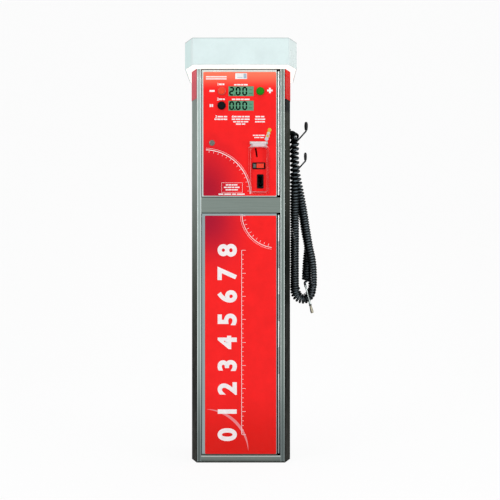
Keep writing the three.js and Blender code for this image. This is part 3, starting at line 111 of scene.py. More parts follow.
chuck_tip = np.array((0.269, -0.046, outlet_height - 0.680))
chuck_axis = (chuck_tip - chuck_start) / np.linalg.norm(chuck_tip - chuck_start)


def unit(vectors):
    """Each vector divided by its own length."""
    return vectors / np.linalg.norm(vectors, axis=-1, keepdims=True)


def smooth_line(points, per_span):
    """A centripetal Catmull-Rom line: on each span a cubic with the end slopes
    (b - a) / t0 - (c - a) / (t0 + t1) + (c - b) / t1, where a t is the square root of a chord."""
    points = np.asarray(points, float)
    ends = np.vstack([2 * points[0] - points[1], points, 2 * points[-1] - points[-2]])
    before, start, end, after = ends[:-3], ends[1:-2], ends[2:-1], ends[3:]
    gaps = np.sqrt(np.linalg.norm(np.diff(ends, axis=0), axis=1))[:, None]
    t0, t1, t2 = gaps[:-2], gaps[1:-1], gaps[2:]
    slope_in = ((start - before) / t0 - (end - before) / (t0 + t1) + (end - start) / t1) * t1
    slope_out = ((end - start) / t1 - (after - start) / (t1 + t2) + (after - end) / t2) * t1
    u = np.linspace(0, 1, per_span, endpoint=False)[None, :, None]
    start, slope_in, end, slope_out = (part[:, None] for part in (start, slope_in, end, slope_out))
    cubic = ((2 * u**3 - 3 * u**2 + 1) * start + (u**3 - 2 * u**2 + u) * slope_in
             + (3 * u**2 - 2 * u**3) * end + (u**3 - u**2) * slope_out)
    return np.vstack([cubic.reshape(-1, 3), points[-1:]])


def lengths_along(points):
    """The distance travelled up to each point."""
    return np.concatenate([[0], np.cumsum(np.linalg.norm(np.diff(points, axis=0), axis=1))])


def at_length(points, travelled, wanted):
    """The points of a line at the wanted distances along it, straight between its own points."""
    return np.stack([np.interp(wanted, travelled, points[:, k]) for k in range(points.shape[1])], axis=1)


def carried_sides(tangents):
    """A side direction carried along a line without twist: each is the last one, less its part along
    the new tangent."""
    sides = np.zeros_like(tangents)
    side = np.array((1.0, 0, 0))
    for i, tangent in enumerate(tangents):
        side = unit(side - tangent * side.dot(tangent))
        sides[i] = side
    return sides


def smoothstep(x, low, high):
    """3 t^2 - 2 t^3 of the share t of the way from low to high."""
    t = np.clip((x - low) / (high - low), 0, 1)
    return t * t * (3 - 2 * t)


def curve_between(start, start_way, end, end_way, pull, count):
    """A cubic Bezier curve: (1-u)^3 start + 3 (1-u)^2 u a + 3 (1-u) u^2 b + u^3 end, where a and b lie a
    pull from the two ends, along the way that the curve takes there."""
    u = np.linspace(0, 1, count)[:, None]
    a, b = start + start_way * pull, end - end_way * pull
    return (1 - u) ** 3 * start + 3 * (1 - u) ** 2 * u * a + 3 * (1 - u) * u**2 * b + u**3 * end


def hose_line(samples_per_curl):
    """The hose's centreline: its route plus a curl square to the route, whose angle grows by a full turn
    for each pitch. The curls grow from nothing below the elbow, with a pitch so long that no bend is
    tighter than a curl, and stop at the front right, where the tail goes on. On the inner side of a bend
    they crowd and are pressed thinner, and where the hose turns up every other one reaches further in.
    Returns the points, with the outward directions and the tube's radii there."""
    per_span, stations, pitch_step, smoothing = 60, 1400, 0.0002, 61
    stretched_pitch, hanging_pitch, crowded_pitch = 0.0176, 0.0096, 0.0083
    growing_length, coil_stop, tightest_turn, most_pressed = 0.026, 0.003, 0.36, 0.38
    drops = np.array(coil_route + tail_route)
    route = smooth_line(np.column_stack([drops[:, :2], outlet_height - drops[:, 2]]), per_span)
    travelled = lengths_along(route)
    coil_end = travelled[per_span * (len(coil_route) - 1)] - coil_stop
    straight_from = travelled[per_span * (len(coil_route) - 3)]
    station = np.linspace(0, travelled[-1], stations)
    line = at_length(route, travelled, station)
    tangents = unit(np.gradient(line, axis=0))
    axes = tangents.copy()
    axes[station > straight_from] = axes[np.searchsorted(station, straight_from)]
    sides = carried_sides(axes)
    turning = np.gradient(axes, station, axis=0)
    turning = np.stack([np.convolve(turning[:, k], np.ones(9) / 9, mode="same") for k in range(3)], axis=1)
    fine = np.arange(hose_diameter, coil_end, pitch_step)
    drop = outlet_height - np.interp(fine, station, line[:, 2])
    bend = np.interp(fine, station, np.linalg.norm(turning, axis=1))
    lean = np.interp(fine, station, (axes * tangents).sum(axis=1))
    from_lowest = fine - fine[np.argmax(drop)]
    turned_up = smoothstep(drop, 0.562, 0.606) * (np.abs(from_lowest) < 0.1)
    sagging = smoothstep(from_lowest, 0.0, 0.034) * (1 - smoothstep(from_lowest, 0.050, 0.095))
    radius = (coil_diameter - hose_diameter) / 2
    reach = radius * smoothstep(fine, hose_diameter, hose_diameter + growing_length)
    crowding = np.clip(bend * radius / tightest_turn, 0, 1)
    hanging = hanging_pitch + (stretched_pitch - hanging_pitch) * (1 - smoothstep(drop, 0.10, 0.30))
    growing = 2 * np.pi * np.sqrt(reach * (radius - reach))
    crowded = 1.05 * hose_diameter * (1 - 0.28 * crowding) / (np.maximum(1 - bend * radius, 0.3) * lean)
    crowded = crowded + (crowded_pitch - crowded) * turned_up
    pitch = np.pad(np.maximum.reduce([hanging, growing, crowded]), smoothing // 2, mode="edge")
    turns = np.cumsum(pitch_step / np.convolve(pitch, np.ones(smoothing) / smoothing, mode="valid"))
    counted = np.append(np.arange(0, turns[-1], 1 / samples_per_curl), turns[-1])
    where = np.interp(counted, turns, fine)
    side = unit(at_length(sides, station, where))
    other = np.cross(unit(at_length(axes, station, where)), side)
    last_way = np.array((0.6, -0.8, 0))
    angles = (counted - counted[-1]) * 2 * np.pi + np.arctan2(other[-1] @ last_way, side[-1] @ last_way)
    outward = side * np.cos(angles)[:, None] + other * np.sin(angles)[:, None]
    bend_way = at_length(turning, station, where)
    bend_way = bend_way / np.maximum(np.linalg.norm(bend_way, axis=1), 1.0)[:, None]
    inward = np.maximum((outward * bend_way).sum(axis=1), 0)
    pressed = inward * np.interp(where, fine, crowding)
    alternate = 0.5 + 0.5 * np.cos(angles / 2)
    further = np.interp(where, fine, turned_up * (0.62 - 0.15 * sagging)) * inward**2 * alternate
    swing = outward + bend_way * (further + np.interp(where, fine, 0.20 * sagging))[:, None]
    curls = at_length(line, station, where) + swing * np.interp(where, fine, reach)[:, None]
    lead = at_length(line, station, np.linspace(0, hose_diameter, 5)[:-1])
    ahead = np.array(tail_route) * (1, 1, -1) + (0, 0, outlet_height)
    ahead[-1] -= chuck_axis * 0.0003
    leaving = unit(curls[-1] - curls[-2])
    peeling = curve_between(curls[-1], leaving, ahead[1], unit(ahead[2] - ahead[1]), 0.007, 12)[1:-1]
    points = np.vstack([lead, curls, peeling, smooth_line(ahead[1:], 8)])
    after = len(points) - len(curls) - len(lead)
    outward = np.vstack([outward[:1]] * len(lead) + [outward] + [outward[-1:]] * after)
    pressed = np.concatenate([np.zeros(len(lead)), pressed, np.zeros(after)])
    return points, outward, hose_diameter / 2 * (1 - most_pressed * pressed)


def ring_quads(rings, sides):
    """The quads between rings of points: two neighbours on a ring and the two beside them on the next."""
    i = np.arange(rings - 1)[:, None] * sides
    k = np.arange(sides)[None, :]
    after = (k + 1) % sides
    return np.stack([i + k, i + after, i + sides + after, i + sides + k], axis=-1).reshape(-1, 4)


def ring_tube(centres, outward, radius, sides):
    """A tube: round each centre a ring of points radius * (cos a * n + sin a * b), with b square to the
    line and to the outward direction, and n square to both. Rings are joined by quads, ends closed."""
    tangents = unit(np.gradient(centres, axis=0))
    b = unit(np.cross(tangents, outward))[:, None]
    n = np.cross(b[:, 0], tangents)[:, None]
    a = np.linspace(0, 2 * np.pi, sides, endpoint=False)[None, :, None]
    rings = centres[:, None] + radius[:, None, None] * (np.cos(a) * n + np.sin(a) * b)
    last = (len(centres) - 1) * sides
    ends = [list(range(sides))[::-1], list(range(last, last + sides))]
    return rings.reshape(-1, 3), ring_quads(len(centres), sides).tolist() + ends


def linear(code):
    """A colour as it looks on a screen, as linear light: ((v + 0.055) / 1.055) to the power 2.4."""
    shown = np.array([int(code[i:i + 2], 16) / 255 for i in (1, 3, 5)])
    return (*np.where(shown <= 0.04045, shown / 12.92, ((shown + 0.055) / 1.055) ** 2.4).tolist(), 1.0)


def put(tree, kind, inputs=(), **settings):
    """A new shader node. A socket among the inputs is linked, and anything else is set."""
    node = tree.nodes.new("ShaderNode" + kind)
    for key, value in settings.items():
        setattr(node, key, value)
    for key, value in dict(inputs).items():
        if isinstance(value, bpy.types.NodeSocket):
            tree.links.new(value, node.inputs[key])
        else:
            node.inputs[key].default_value = value
    return node


def combined(tree, operation, first, second=0.0):
    """A product, maximum or the like of two values."""
    return put(tree, "Math", {0: first, 1: second}, operation=operation).outputs[0]


def remapped(tree, value, low, high, to_low=0.0, to_high=1.0, **settings):
    """A value carried from one range to another and held at its ends."""
    limits = {"From Min": low, "From Max": high, "To Min": to_low, "To Max": to_high}
    return put(tree, "MapRange", {"Value": value, **limits}, **settings).outputs["Result"]


def mixed(tree, share, under, over):
    """A node that mixes two colours by the share of the second."""
    return put(tree, "Mix", {"Factor": share, 6: under, 7: over}, data_type="RGBA")


def noise(tree, place, scale, detail, roughness=0.5):
    """A value that wanders about a half from place to place."""
    sockets = {"Vector": place, "Scale": scale, "Detail": detail, "Roughness": roughness}
    return put(tree, "TexNoise", sockets).outputs["Fac"]


def part_of(tree, vector, axis):
    """The X, Y or Z of a vector."""
    return put(tree, "SeparateXYZ", {"Vector": vector}).outputs[axis]


def new_group(name, inputs, outputs):
    """An empty shader node group. Its inputs are numbers, or vectors where the default is a tuple, and
    its outputs are numbers. Returns its tree, its inside input and output."""
    tree = bpy.data.node_groups.new(name, "ShaderNodeTree")
    for label, default in inputs.items():
        kind = "NodeSocketVector" if isinstance(default, tuple) else "NodeSocketFloat"
        tree.interface.new_socket(name=label, in_out="INPUT", socket_type=kind).default_value = default
    for label in outputs:
        tree.interface.new_socket(name=label, in_out="OUTPUT", socket_type="NodeSocketFloat")
    return tree, tree.nodes.new("NodeGroupInput").outputs, tree.nodes.new("NodeGroupOutput").inputs


def use_group(tree, group, **inputs):
    """A shader node group placed in a material, with its own values."""
    named = {key.replace("_", " "): value for key, value in inputs.items()}
    return put(tree, "Group", named, node_tree=group).outputs


# Uneven gloss, as any moulded, painted or rolled surface has: a value that wanders between two limits.
uneven, uneven_in, uneven_out = new_group(
    "uneven", {"Place": (0, 0, 0), "Grains per metre": 60.0, "Low": 0.3, "High": 0.5}, ("Value", "Share"),
)
uneven_noise = noise(uneven, uneven_in["Place"], uneven_in["Grains per metre"], 4.0, 0.6)
for label, lowest, highest in (("Value", uneven_in["Low"], uneven_in["High"]), ("Share", 0.0, 1.0)):
    uneven.links.new(remapped(uneven, uneven_noise, 0.3, 0.7, lowest, highest), uneven_out[label])

# Dust: thickest near the floor and on faces that look up, broken up by noise.
dusty, dusty_in, dusty_out = new_group(
    "dusty", {"Place": (0, 0, 0), "Reach": 0.25, "Amount": 0.5}, ("Mask",),
)
dusty_low = remapped(dusty, part_of(dusty, dusty_in["Place"], "Z"), 0.0, dusty_in["Reach"], 1.0, 0.0)
dusty_normal = put(dusty, "NewGeometry").outputs["Normal"]
dusty_upward = remapped(dusty, part_of(dusty, dusty_normal, "Z"), 0.3, 1.0, 0.0, 0.8)
dusty_broken = combined(dusty, "MULTIPLY", combined(dusty, "MAXIMUM", dusty_low, dusty_upward),
                        noise(dusty, dusty_in["Place"], 35.0, 5.0))
dusty.links.new(combined(dusty, "MULTIPLY", dusty_broken, dusty_in["Amount"]), dusty_out["Mask"])
dust_colour = linear("#8d8a80")


def new_material(name, code, roughness, grains=60.0, depth=0.0, dust=0.0, dust_reach=0.25, metal=0.0,
                 gloss=0.5, glow="#ffffff", glow_strength=0.0):
    """A Principled material that reads Object coordinates: its roughness wanders a little, its surface
    has bumps of a depth in metres, and dust lies on it. Returns what a pattern goes on from: the
    material, its tree, shader and place, the colour so far, and the dust's mix that covers it."""
    material = bpy.data.materials.new(name)
    material.use_nodes = True
    tree = material.node_tree
    shader = tree.nodes["Principled BSDF"]
    for key, value in {"Metallic": metal, "Specular IOR Level": gloss, "Emission Color": linear(glow),
                       "Emission Strength": glow_strength}.items():
        shader.inputs[key].default_value = value
    place = put(tree, "TexCoord").outputs["Object"]
    spread = use_group(tree, uneven, Place=place, Grains_per_metre=grains,
                       Low=roughness * 0.82, High=min(roughness * 1.22, 1.0))
    tree.links.new(spread["Value"], shader.inputs["Roughness"])
    colour = linear(code)
    tint = mixed(tree, spread["Share"], colour, (*[c * 0.9 for c in colour[:3]], 1.0)).outputs[2]
    powder = use_group(tree, dusty, Place=place, Reach=dust_reach, Amount=dust)
    cover = mixed(tree, powder["Mask"], tint, dust_colour)
    tree.links.new(cover.outputs[2], shader.inputs["Base Color"])
    finish = SimpleNamespace(material=material, tree=tree, shader=shader, place=place, colour=tint,
                             cover=cover)
    if depth:
        raise_surface(finish, noise(tree, place, grains * 12, 3.0), depth, 0.6)
    return finish


def raise_surface(finish, height, distance, strength):
    """Bumps that follow a height."""
    bump = put(finish.tree, "Bump", {"Height": height, "Distance": distance, "Strength": strength})
    finish.tree.links.new(bump.outputs["Normal"], finish.shader.inputs["Normal"])


def times(finish, first, second):
    """The product of two values."""
    return combined(finish.tree, "MULTIPLY", first, second)


def lay_over(finish, share, code):
    """Lays a colour over what a material has so far, under its dust, by a share."""
    finish.colour = mixed(finish.tree, share, finish.colour, linear(code)).outputs[2]
    finish.tree.links.new(finish.colour, finish.cover.inputs[6])


def show(name, mesh, finish, angle, body, slot, replaces):
    """Puts a mesh in the scene at the origin, smooth but for edges sharper than an angle. It rides on a
    body and may stand for CAD nodes."""
    mesh.materials.clear()
    mesh.materials.append(finish.material)
    mesh.shade_smooth()
    mesh.set_sharp_from_angle(angle=math.radians(angle))
    piece = bpy.data.objects.new(name, mesh)
    bpy.context.scene.collection.objects.link(piece)
    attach(piece, body)
    if replaces:
        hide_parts(*replaces)
    return piece


def ease_edges(piece, width, angle, clamped):
    """A small bevel on the edges that are sharper than an angle."""
    ease = piece.modifiers.new("eased_edges", "BEVEL")
    ease.width = width
    ease.segments = 2
    ease.limit_method = "ANGLE"
    ease.angle_limit = math.radians(angle)
    ease.use_clamp_overlap = clamped
    ease.harden_normals = True


def new_piece(name, vertices, faces, finish, body, slot, replaces=(), bevel=0.0, angle=35):
    """A piece made of points and faces, with its place in its points."""
    mesh = bpy.data.meshes.new(name)
    mesh.from_pydata(np.asarray(vertices, float).tolist(), [], [list(map(int, face)) for face in faces])
    mesh.validate()
    piece = show(name, mesh, finish, angle, body, slot, replaces)
    if bevel:
        ease_edges(piece, bevel, angle, True)
    return piece


# Painted highlight: the outward side of each curl is laid bluish grey, in patches, where it faces the front
# right, standing in for the lamps' glints; the sides that face the next curl or the wall stay black.
black_hose = new_material("black_hose", "#050608", 0.34, grains=45, depth=0.0002, dust=0.04,
                          dust_reach=0.05, gloss=0.01)
hose_highlight = put(black_hose.tree, "Attribute", attribute_name="crest_highlight").outputs["Fac"]
highlight_patches = use_group(black_hose.tree, uneven, Place=black_hose.place, Grains_per_metre=240.0,
                        Low=0.2, High=1.0)
lay_over(black_hose, times(black_hose, hose_highlight, highlight_patches["Value"]), "#9aa8af")
hose_sides = 12
hose_centres, hose_outward, hose_radii = hose_line(16)
hose = new_piece("curly_hose", *ring_tube(hose_centres, hose_outward, hose_radii, hose_sides),
                 black_hose, "root", "black_rubber", ["hose_coil"], angle=60)
# The painted highlight is brightest where a curl's outward side faces the front right.
highlight_way = np.array((0.28, -0.96, 0))
crest_highlight = np.maximum(np.cos(np.linspace(0, 2 * np.pi, hose_sides, endpoint=False)), 0) ** 8
highlight_facing = np.maximum(hose_outward @ highlight_way, 0) ** 8
hose.data.attributes.new("crest_highlight", "FLOAT", "POINT").data.foreach_set("value", np.outer(highlight_facing, crest_highlight).ravel())


# ---- chuck
# The hose ends in a ball nut that holds a thin chromed tube; a rubber ring and a turned brass head with
# the mouth for the tyre valve sit on its other end.
def turned(profile, start, axis, sides=48):
    """A surface of revolution: the point (radius, height) of the profile goes to
    start + height * axis + radius * (cos a * u + sin a * v). The profile starts and ends on the axis."""
    axis = np.asarray(axis, float) / np.linalg.norm(axis)
    helper = np.array((1.0, 0, 0)) if abs(axis[0]) < 0.9 else np.array((0, 1.0, 0))
    u = unit(np.cross(axis, helper))
    v = np.cross(axis, u)
    profile = np.asarray(profile, float)
    inner = profile[1:-1]
    a = np.linspace(0, 2 * np.pi, sides, endpoint=False)
    around = np.cos(a)[:, None] * u + np.sin(a)[:, None] * v
    rings = np.asarray(start) + inner[:, None, 1:] * axis + inner[:, None, :1] * around[None]
    poles = np.asarray(start) + profile[[0, -1], 1:] * axis
    low, high = len(inner) * sides, len(inner) * sides + 1
    last = (len(inner) - 1) * sides
    fans = [(low, (n + 1) % sides, n) for n in range(sides)]
    fans += [(high, last + n, last + (n + 1) % sides) for n in range(sides)]
    return np.vstack([rings.reshape(-1, 3), poles]), ring_quads(len(inner), sides).tolist() + fans


def arc(middle, radius, start, end, count=8):
    """Points on a circle about a middle, from one angle to another in degrees."""
    a = np.radians(np.linspace(start, end, count))
    return [(middle[0] + radius * math.cos(t), middle[1] + radius * math.sin(t)) for t in a]


def chuck_piece(name, profile, height, finish, slot, node):
    """A turned piece of the chuck, at a height on its axis."""
    return new_piece(name, *turned(profile, chuck_start + chuck_axis * height, chuck_axis), finish,
                     "root", slot, [node], angle=50)


chrome = new_material("chrome", "#b9c2c0", 0.16, grains=120, depth=0.00002, dust=0.05, metal=1.0)
brass = new_material("turned_brass", "#a6a190", 0.3, grains=90, depth=0.00003, metal=1.0)
black_rubber = new_material("black_rubber", "#121316", 0.5, grains=80, depth=0.0002, dust=0.10,
                            dust_reach=0.05, gloss=0.3)
chuck_length = float(np.linalg.norm(chuck_tip - chuck_start))
chuck_head_length = 0.029
chuck_ring_height = 0.004
chuck_ring_start = chuck_length - chuck_head_length - chuck_ring_height
chuck_tube = 0.0028
stem_steps = [
    (chuck_tube, 0.016), (0.0036, 0.0150), (0.0042, 0.0135), (0.0042, 0.010), (0.0036, 0.0095),
    (0.0036, 0.0085), (0.0047, 0.0078), (0.0047, 0.0008), (0.0043, 0.0003), (0, 0.0003),
]
stem_profile = (
    [(0, 0), (0.0036, 0)] + arc((0, 0.0040), 0.0050, -40, 52, 12) + [(chuck_tube, 0.0085)]
    + [(radius, chuck_ring_start - below) for radius, below in stem_steps]
)
ring_profile = (
    [(0, 0), (0.0044, 0)] + arc((0.0044, 0.0011), 0.0010, -80, 0, 5)
    + arc((0.0044, 0.0029), 0.0010, 0, 80, 5) + [(0.0044, chuck_ring_height), (0, chuck_ring_height)]
)
head_profile = [
    (0, 0.0003), (0.0040, 0.0003), (0.0044, 0.0008), (0.0044, 0.0052), (0.0047, 0.0058), (0.0047, 0.0066),
    (0.0050, 0.0080), (0.0054, 0.0120), (0.0058, 0.0170), (0.0060, 0.0205), (0.0060, 0.0245),
    (0.0057, 0.0268), (0.0050, 0.0286), (0.0047, chuck_head_length), (0.0040, chuck_head_length),
    (0.0037, 0.0284), (0.0037, 0.0205), (0, 0.0205),
]
chuck_stem = chuck_piece("chuck_tube", stem_profile, 0.0, chrome, "chrome", "chuck_stem")
chuck_ring = chuck_piece("chuck_rubber_ring", ring_profile, chuck_ring_start, black_rubber, "black_rubber",
                         "chuck_ring")
chuck_head = chuck_piece("chuck_brass_head", head_profile, chuck_ring_start + chuck_ring_height, brass,
                         "brass", "chuck_head")

# ---- cabinet
# One steel sheet folded round the sides and the back, on a floor plate, all powder coated dark grey. A
# red band of thin sheet goes round it under the canopy, and a pressed grille covers the vent behind.
slot_of = {part["node"]: part["material_slot"] for part in frame["record"]["subparts"]}


def home_of(node):
    """The body that a CAD node rides on, its slot, and its name in a list."""
    return frame["nodes"][node]["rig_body"], slot_of[node], [node]


def smoothed(node, finish, angle=30):
    """A copy of a CAD node that stands for it: its loose triangles are merged, its flat faces made whole,
    and its edges smooth but for those sharper than an angle."""
    work = bmesh.new()
    work.from_mesh(frame["nodes"][node].data)
    bmesh.ops.remove_doubles(work, verts=work.verts, dist=5e-6)
    bmesh.ops.dissolve_limit(work, angle_limit=math.radians(0.5), verts=work.verts, edges=work.edges)
    bmesh.ops.recalc_face_normals(work, faces=work.faces)
    mesh = bpy.data.meshes.new(node + "_finished")
    work.to_mesh(mesh)
    work.free()
    return show(node + "_finished", mesh, finish, angle, *home_of(node))


def eased(finish, angle=30, **widths):
    """Smoothed copies whose sharp edges are rounded by a small bevel, of a width for each node."""
    for node, width in widths.items():
        ease_edges(smoothed(node, finish, angle), width, angle, False)


def way_along(finish, axis, start, end):
    """How far a point has come from a start to an end along X, Y or Z, from 0 to 1."""
    part = part_of(finish.tree, finish.place, axis)
    return remapped(finish.tree, part, start, end, interpolation_type="SMOOTHSTEP")


def fade(finish, code, **ways):
    """Lays a colour over a material that grows from a start to an end along one axis or two."""
    shares = [way_along(finish, axis, *ends) for axis, ends in ways.items()]
    lay_over(finish, shares[0] if len(shares) == 1 else times(finish, *shares), code)


wall_reach = 0.17
dark_paint = new_material("dark_powder_coat", "#1b1d19", 0.45, grains=30, depth=0.00012, dust=0.12,
                          gloss=0.006)
# Painted light on the dark walls: the right wall lighter above the middle, a painted shadow just under the
# red band on the right, and the left wall lighter towards the top as a painted reflection.
fade(dark_paint, "#393b35", X=(0.0, wall_reach), Z=(0.75, 1.05))
fade(dark_paint, "#181a1a", X=(0.0, wall_reach), Z=(1.280, 1.300))
fade(dark_paint, "#4a5048", X=(0.0, -wall_reach), Z=(0.30, 0.85))
fade(dark_paint, "#8e9893", X=(0.0, -wall_reach), Z=(0.60, 1.25))
red_paint = new_material("red_paint", "#e8251f", 0.3, grains=25, depth=0.00004, dust=0.05,
                         gloss=0.004)
# Painted reflection: the red band paler pink on its left side.
fade(red_paint, "#d9606a", X=(0.0, -wall_reach))
eased(dark_paint, base_plate=0.0006, cabinet_shell=0.0007, vent_grille=0.0005)
eased(red_paint, shoulder_band=0.0003)

# ---- front frame
# Two stiles and two rails of brushed steel sheet close the front of the cabinet. Each stile has a
# polished bead down both edges, with a painted highlight on it, and the right one carries half of the
# knuckles of both hinges.
brushed, brushed_in, brushed_out = new_group(
    "brushed", {"Place": (0, 0, 0), "Stretch": (900.0, 900.0, 8.0)}, ("Tone", "Height"),
)
brushed_place = put(brushed, "VectorMath", {0: brushed_in["Place"], 1: brushed_in["Stretch"]},
                    operation="MULTIPLY").outputs[0]
brushed_lines = noise(brushed, brushed_place, 1.0, 3.0, 0.7)
brushed.links.new(remapped(brushed, brushed_lines, 0.32, 0.68), brushed_out["Tone"])
brushed.links.new(brushed_lines, brushed_out["Height"])


def brushed_metal(name, light, dark, roughness, stretch, dust=0.12):
    """Steel brushed along one direction: its tone and its height follow long thin lines."""
    finish = new_material(name, light, roughness, grains=9, dust=dust, dust_reach=0.2, metal=1.0)
    lines = use_group(finish.tree, brushed, Place=finish.place, Stretch=stretch)
    lay_over(finish, lines["Tone"], dark)
    raise_surface(finish, lines["Height"], 0.00003, 0.5)
    return finish


upright_lines = (1100.0, 1100.0, 7.0)
level_lines = (7.0, 1100.0, 1100.0)
stile_steel = brushed_metal("stile_steel", "#a3b2b0", "#8d9b97", 0.34, upright_lines)
# Painted shade: the stile steel darker towards the right and towards the floor. The beads' fronts are
# painted light as a highlight, less so towards the floor.
fade(stile_steel, "#74817c", X=(-0.10, 0.15))
fade(stile_steel, "#586362", Z=(0.50, 0.02))
bead_highlight = remapped(stile_steel.tree, part_of(stile_steel.tree, stile_steel.place, "Y"),
                      front_plane + 0.0007, front_plane + 0.0002)
lay_over(stile_steel, bead_highlight, "#e2ece9")
lay_over(stile_steel, times(stile_steel, way_along(stile_steel, "Z", 0.45, 0.02), bead_highlight), "#8d9898")
rail_steel = brushed_metal("rail_steel", "#88938d", "#75817b", 0.36, level_lines)
foot_steel = brushed_metal("foot_steel", "#76837f", "#5c6967", 0.38, level_lines, dust=0.3)
# Painted shade along the bottom rail's lower edge by the floor, and a painted highlight along its top edge.
fade(foot_steel, "#4a5352", Z=(0.014, 0.006))
fade(foot_steel, "#bcc5c0", Z=(0.0195, 0.0235))
grey_sheet = brushed_metal("galvanised_sheet", "#8f9896", "#79827f", 0.45, (60.0, 60.0, 60.0), dust=0.3)
eased(stile_steel, left_stile=0.0003, right_stile=0.0003)
eased(rail_steel, cross_rail=0.0005)
eased(foot_steel, bottom_rail=0.0005)
eased(grey_sheet, roof_plate=0.0004)

# ---- canopy
# A ring of opal acrylic under a grey lid, lit from inside by a lamp bar. Its floor is a clear-white
# diffuser that throws the light down on the control door. A frame of square tube on the roof holds it.
opal = new_material("opal_acrylic", "#d2e2e1", 0.3, grains=14, dust=0.06, gloss=0.35, glow="#eaf6f6",
                    glow_strength=0.12)
# Painted shade: the canopy's side faces laid a little darker than its front.
fade(opal, "#cddcd9", X=(0.172, 0.186))
fade(opal, "#c3dedb", X=(-0.172, -0.186))
lit_white = new_material("lit_diffuser", "#f7fbf8", 0.4, grains=20, gloss=0.3, glow="#fffdf4",
                         glow_strength=0.75)
lamp_white = new_material("lamp_white", "#ffffff", 0.4, grains=20, glow_strength=1.0)
lid_sheet = new_material("lid_sheet", "#c9d3d1", 0.45, grains=20, dust=0.5, metal=0.2)
aluminium_tube = brushed_metal("aluminium_tube", "#b4bab9", "#9da4a3", 0.4, level_lines)
eased(opal, canopy_wall=0.0012)
eased(lid_sheet, canopy_lid=0.0008)
eased(lit_white, canopy_diffuser=0.0005)
eased(aluminium_tube, canopy_frame=0.0006)
eased(lamp_white, led_bar=0.0010)

# ---- control door
# A folded steel tray with a screen-printed polycarbonate sheet on its front, hung on a long pin hinge.
# The print is a red that fades to crimson, with white marks; each mark is a raised layer of ink.
fascia_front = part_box("control_door_fascia")[0].y
ink = 0.00015
door_steel = brushed_metal("door_steel", "#d3dddb", "#bcc8c5", 0.3, upright_lines)
# Painted shade: the door steel darker below the cross rail, and darkest in the gap at the service door's
# foot.
fade(door_steel, "#93a2a4", Z=(0.97, 0.90))
fade(door_steel, "#43554e", Z=(0.0335, 0.0310))
leaf_steel = brushed_metal("hinge_steel", "#e0e7e5", "#c4cecb", 0.25, upright_lines)
# Painted shade: the hinge leaf darker below the cross rail.
fade(leaf_steel, "#a9b4b3", Z=(0.97, 0.90))


def red_print(name):
    """A glossy red print under a clear sheet, with a faint orange peel."""
    return new_material(name, "#ff2828", 0.22, grains=18, depth=0.00001, dust=0.05, gloss=0.05)


control_print = red_print("control_door_print")
fade(control_print, "#ae1a30", Z=(1.26, 0.985), X=(0.035, -0.125))
# Painted light: the top of the print lighter and more orange, as a pool of light from the diffuser above.
fade(control_print, "#ff7f63", Z=(1.365, 1.440))
eased(door_steel, control_door_panel=0.0003)
eased(control_print, control_door_fascia=0.0003)
eased(leaf_steel, control_door_leaf=0.0003)


def prisms(outlines, front, thickness=ink):
    """Flat plates in front of a plane: each outline of (x, z) points, counter-clockwise from the front,
    is drawn once on the plane and once a thickness before it, and the two are joined by a wall."""
    outlines = np.asarray(outlines, float)
    count, corners = outlines.shape[:2]
    points = np.zeros((count, 2, corners, 3))
    points[..., ::2] = outlines[:, None]
    points[..., 1] = np.array((front - thickness, front))[:, None]
    k = np.arange(corners)
    after = (k + 1) % corners
    wall = np.stack([k + corners, after + corners, after, k], axis=1)
    first = np.arange(count)[:, None, None] * 2 * corners
    walls = (first + wall).reshape(-1, 4).tolist()
    fronts = (first[:, :, 0] + k).tolist()
    backs = (first[:, :, 0] + corners + k[::-1]).tolist()
    return points.reshape(-1, 3), walls + fronts + backs


def bars(spans, front, thickness=ink):
    """Upright rectangles, each from the left, right, lower and upper edge."""
    spans = np.asarray(spans, float)
    return prisms(np.stack([spans[:, [0, 1, 1, 0]], spans[:, [2, 2, 3, 3]]], axis=2), front, thickness)


def discs(middles, radius, front, thickness=ink, corners=40):
    """Round plates about (x, z) middles."""
    a = np.linspace(0, 2 * np.pi, corners, endpoint=False)
    circle = radius * np.stack([np.cos(a), np.sin(a)], axis=1)
    return prisms(np.asarray(middles, float)[:, None] + circle[None], front, thickness)


def stripe(line, width, front, thickness=ink):
    """A band along a line of (x, z) points: the line moved half a width to both sides, square to it."""
    line = np.asarray(line, float)
    along = unit(np.gradient(line, axis=0))
    width = np.broadcast_to(np.asarray(width, float), len(line))[:, None]
    half = np.stack([-along[:, 1], along[:, 0]], axis=1) * width / 2
    left, right = line + half, line - half
    ring = np.zeros((len(line), 4, 3))
    ring[:, :, ::2] = np.stack([left, right, right, left], axis=1)
    ring[:, :2, 1] = front - thickness
    ring[:, 2:, 1] = front
    quads = ring_quads(len(line), 4)[:, ::-1]
    last = (len(line) - 1) * 4
    return ring.reshape(-1, 3), quads.tolist() + [[0, 1, 2, 3], [last + 3, last + 2, last + 1, last]]


def ticks(middle, inner, outer, degrees, width, front):
    """Short stripes from an inner to an outer radius, at angles in degrees."""
    lines = [arc(middle, inner, a, a, 1) + arc(middle, outer, a, a, 1) for a in degrees]
    return [stripe(line, width, front) for line in lines]


def together(*shapes):
    """Several shapes as one list of points and one of faces."""
    points, faces, first = [], [], 0
    for shape_points, shape_faces in shapes:
        points.append(shape_points)
        faces += [[first + k for k in face] for face in shape_faces]
        first += len(shape_points)
    return np.vstack(points), faces


def dashes(left, right, low, high, pattern):
    """A row of small bars that stands for a line of small print: the pattern's shares of the row are in
    turn ink and gap."""
    edges = left + (right - left) * np.concatenate([[0], np.cumsum(pattern)]) / np.sum(pattern)
    return [(a, b, low, high) for a, b in zip(edges[0:-1:2], edges[1::2])]


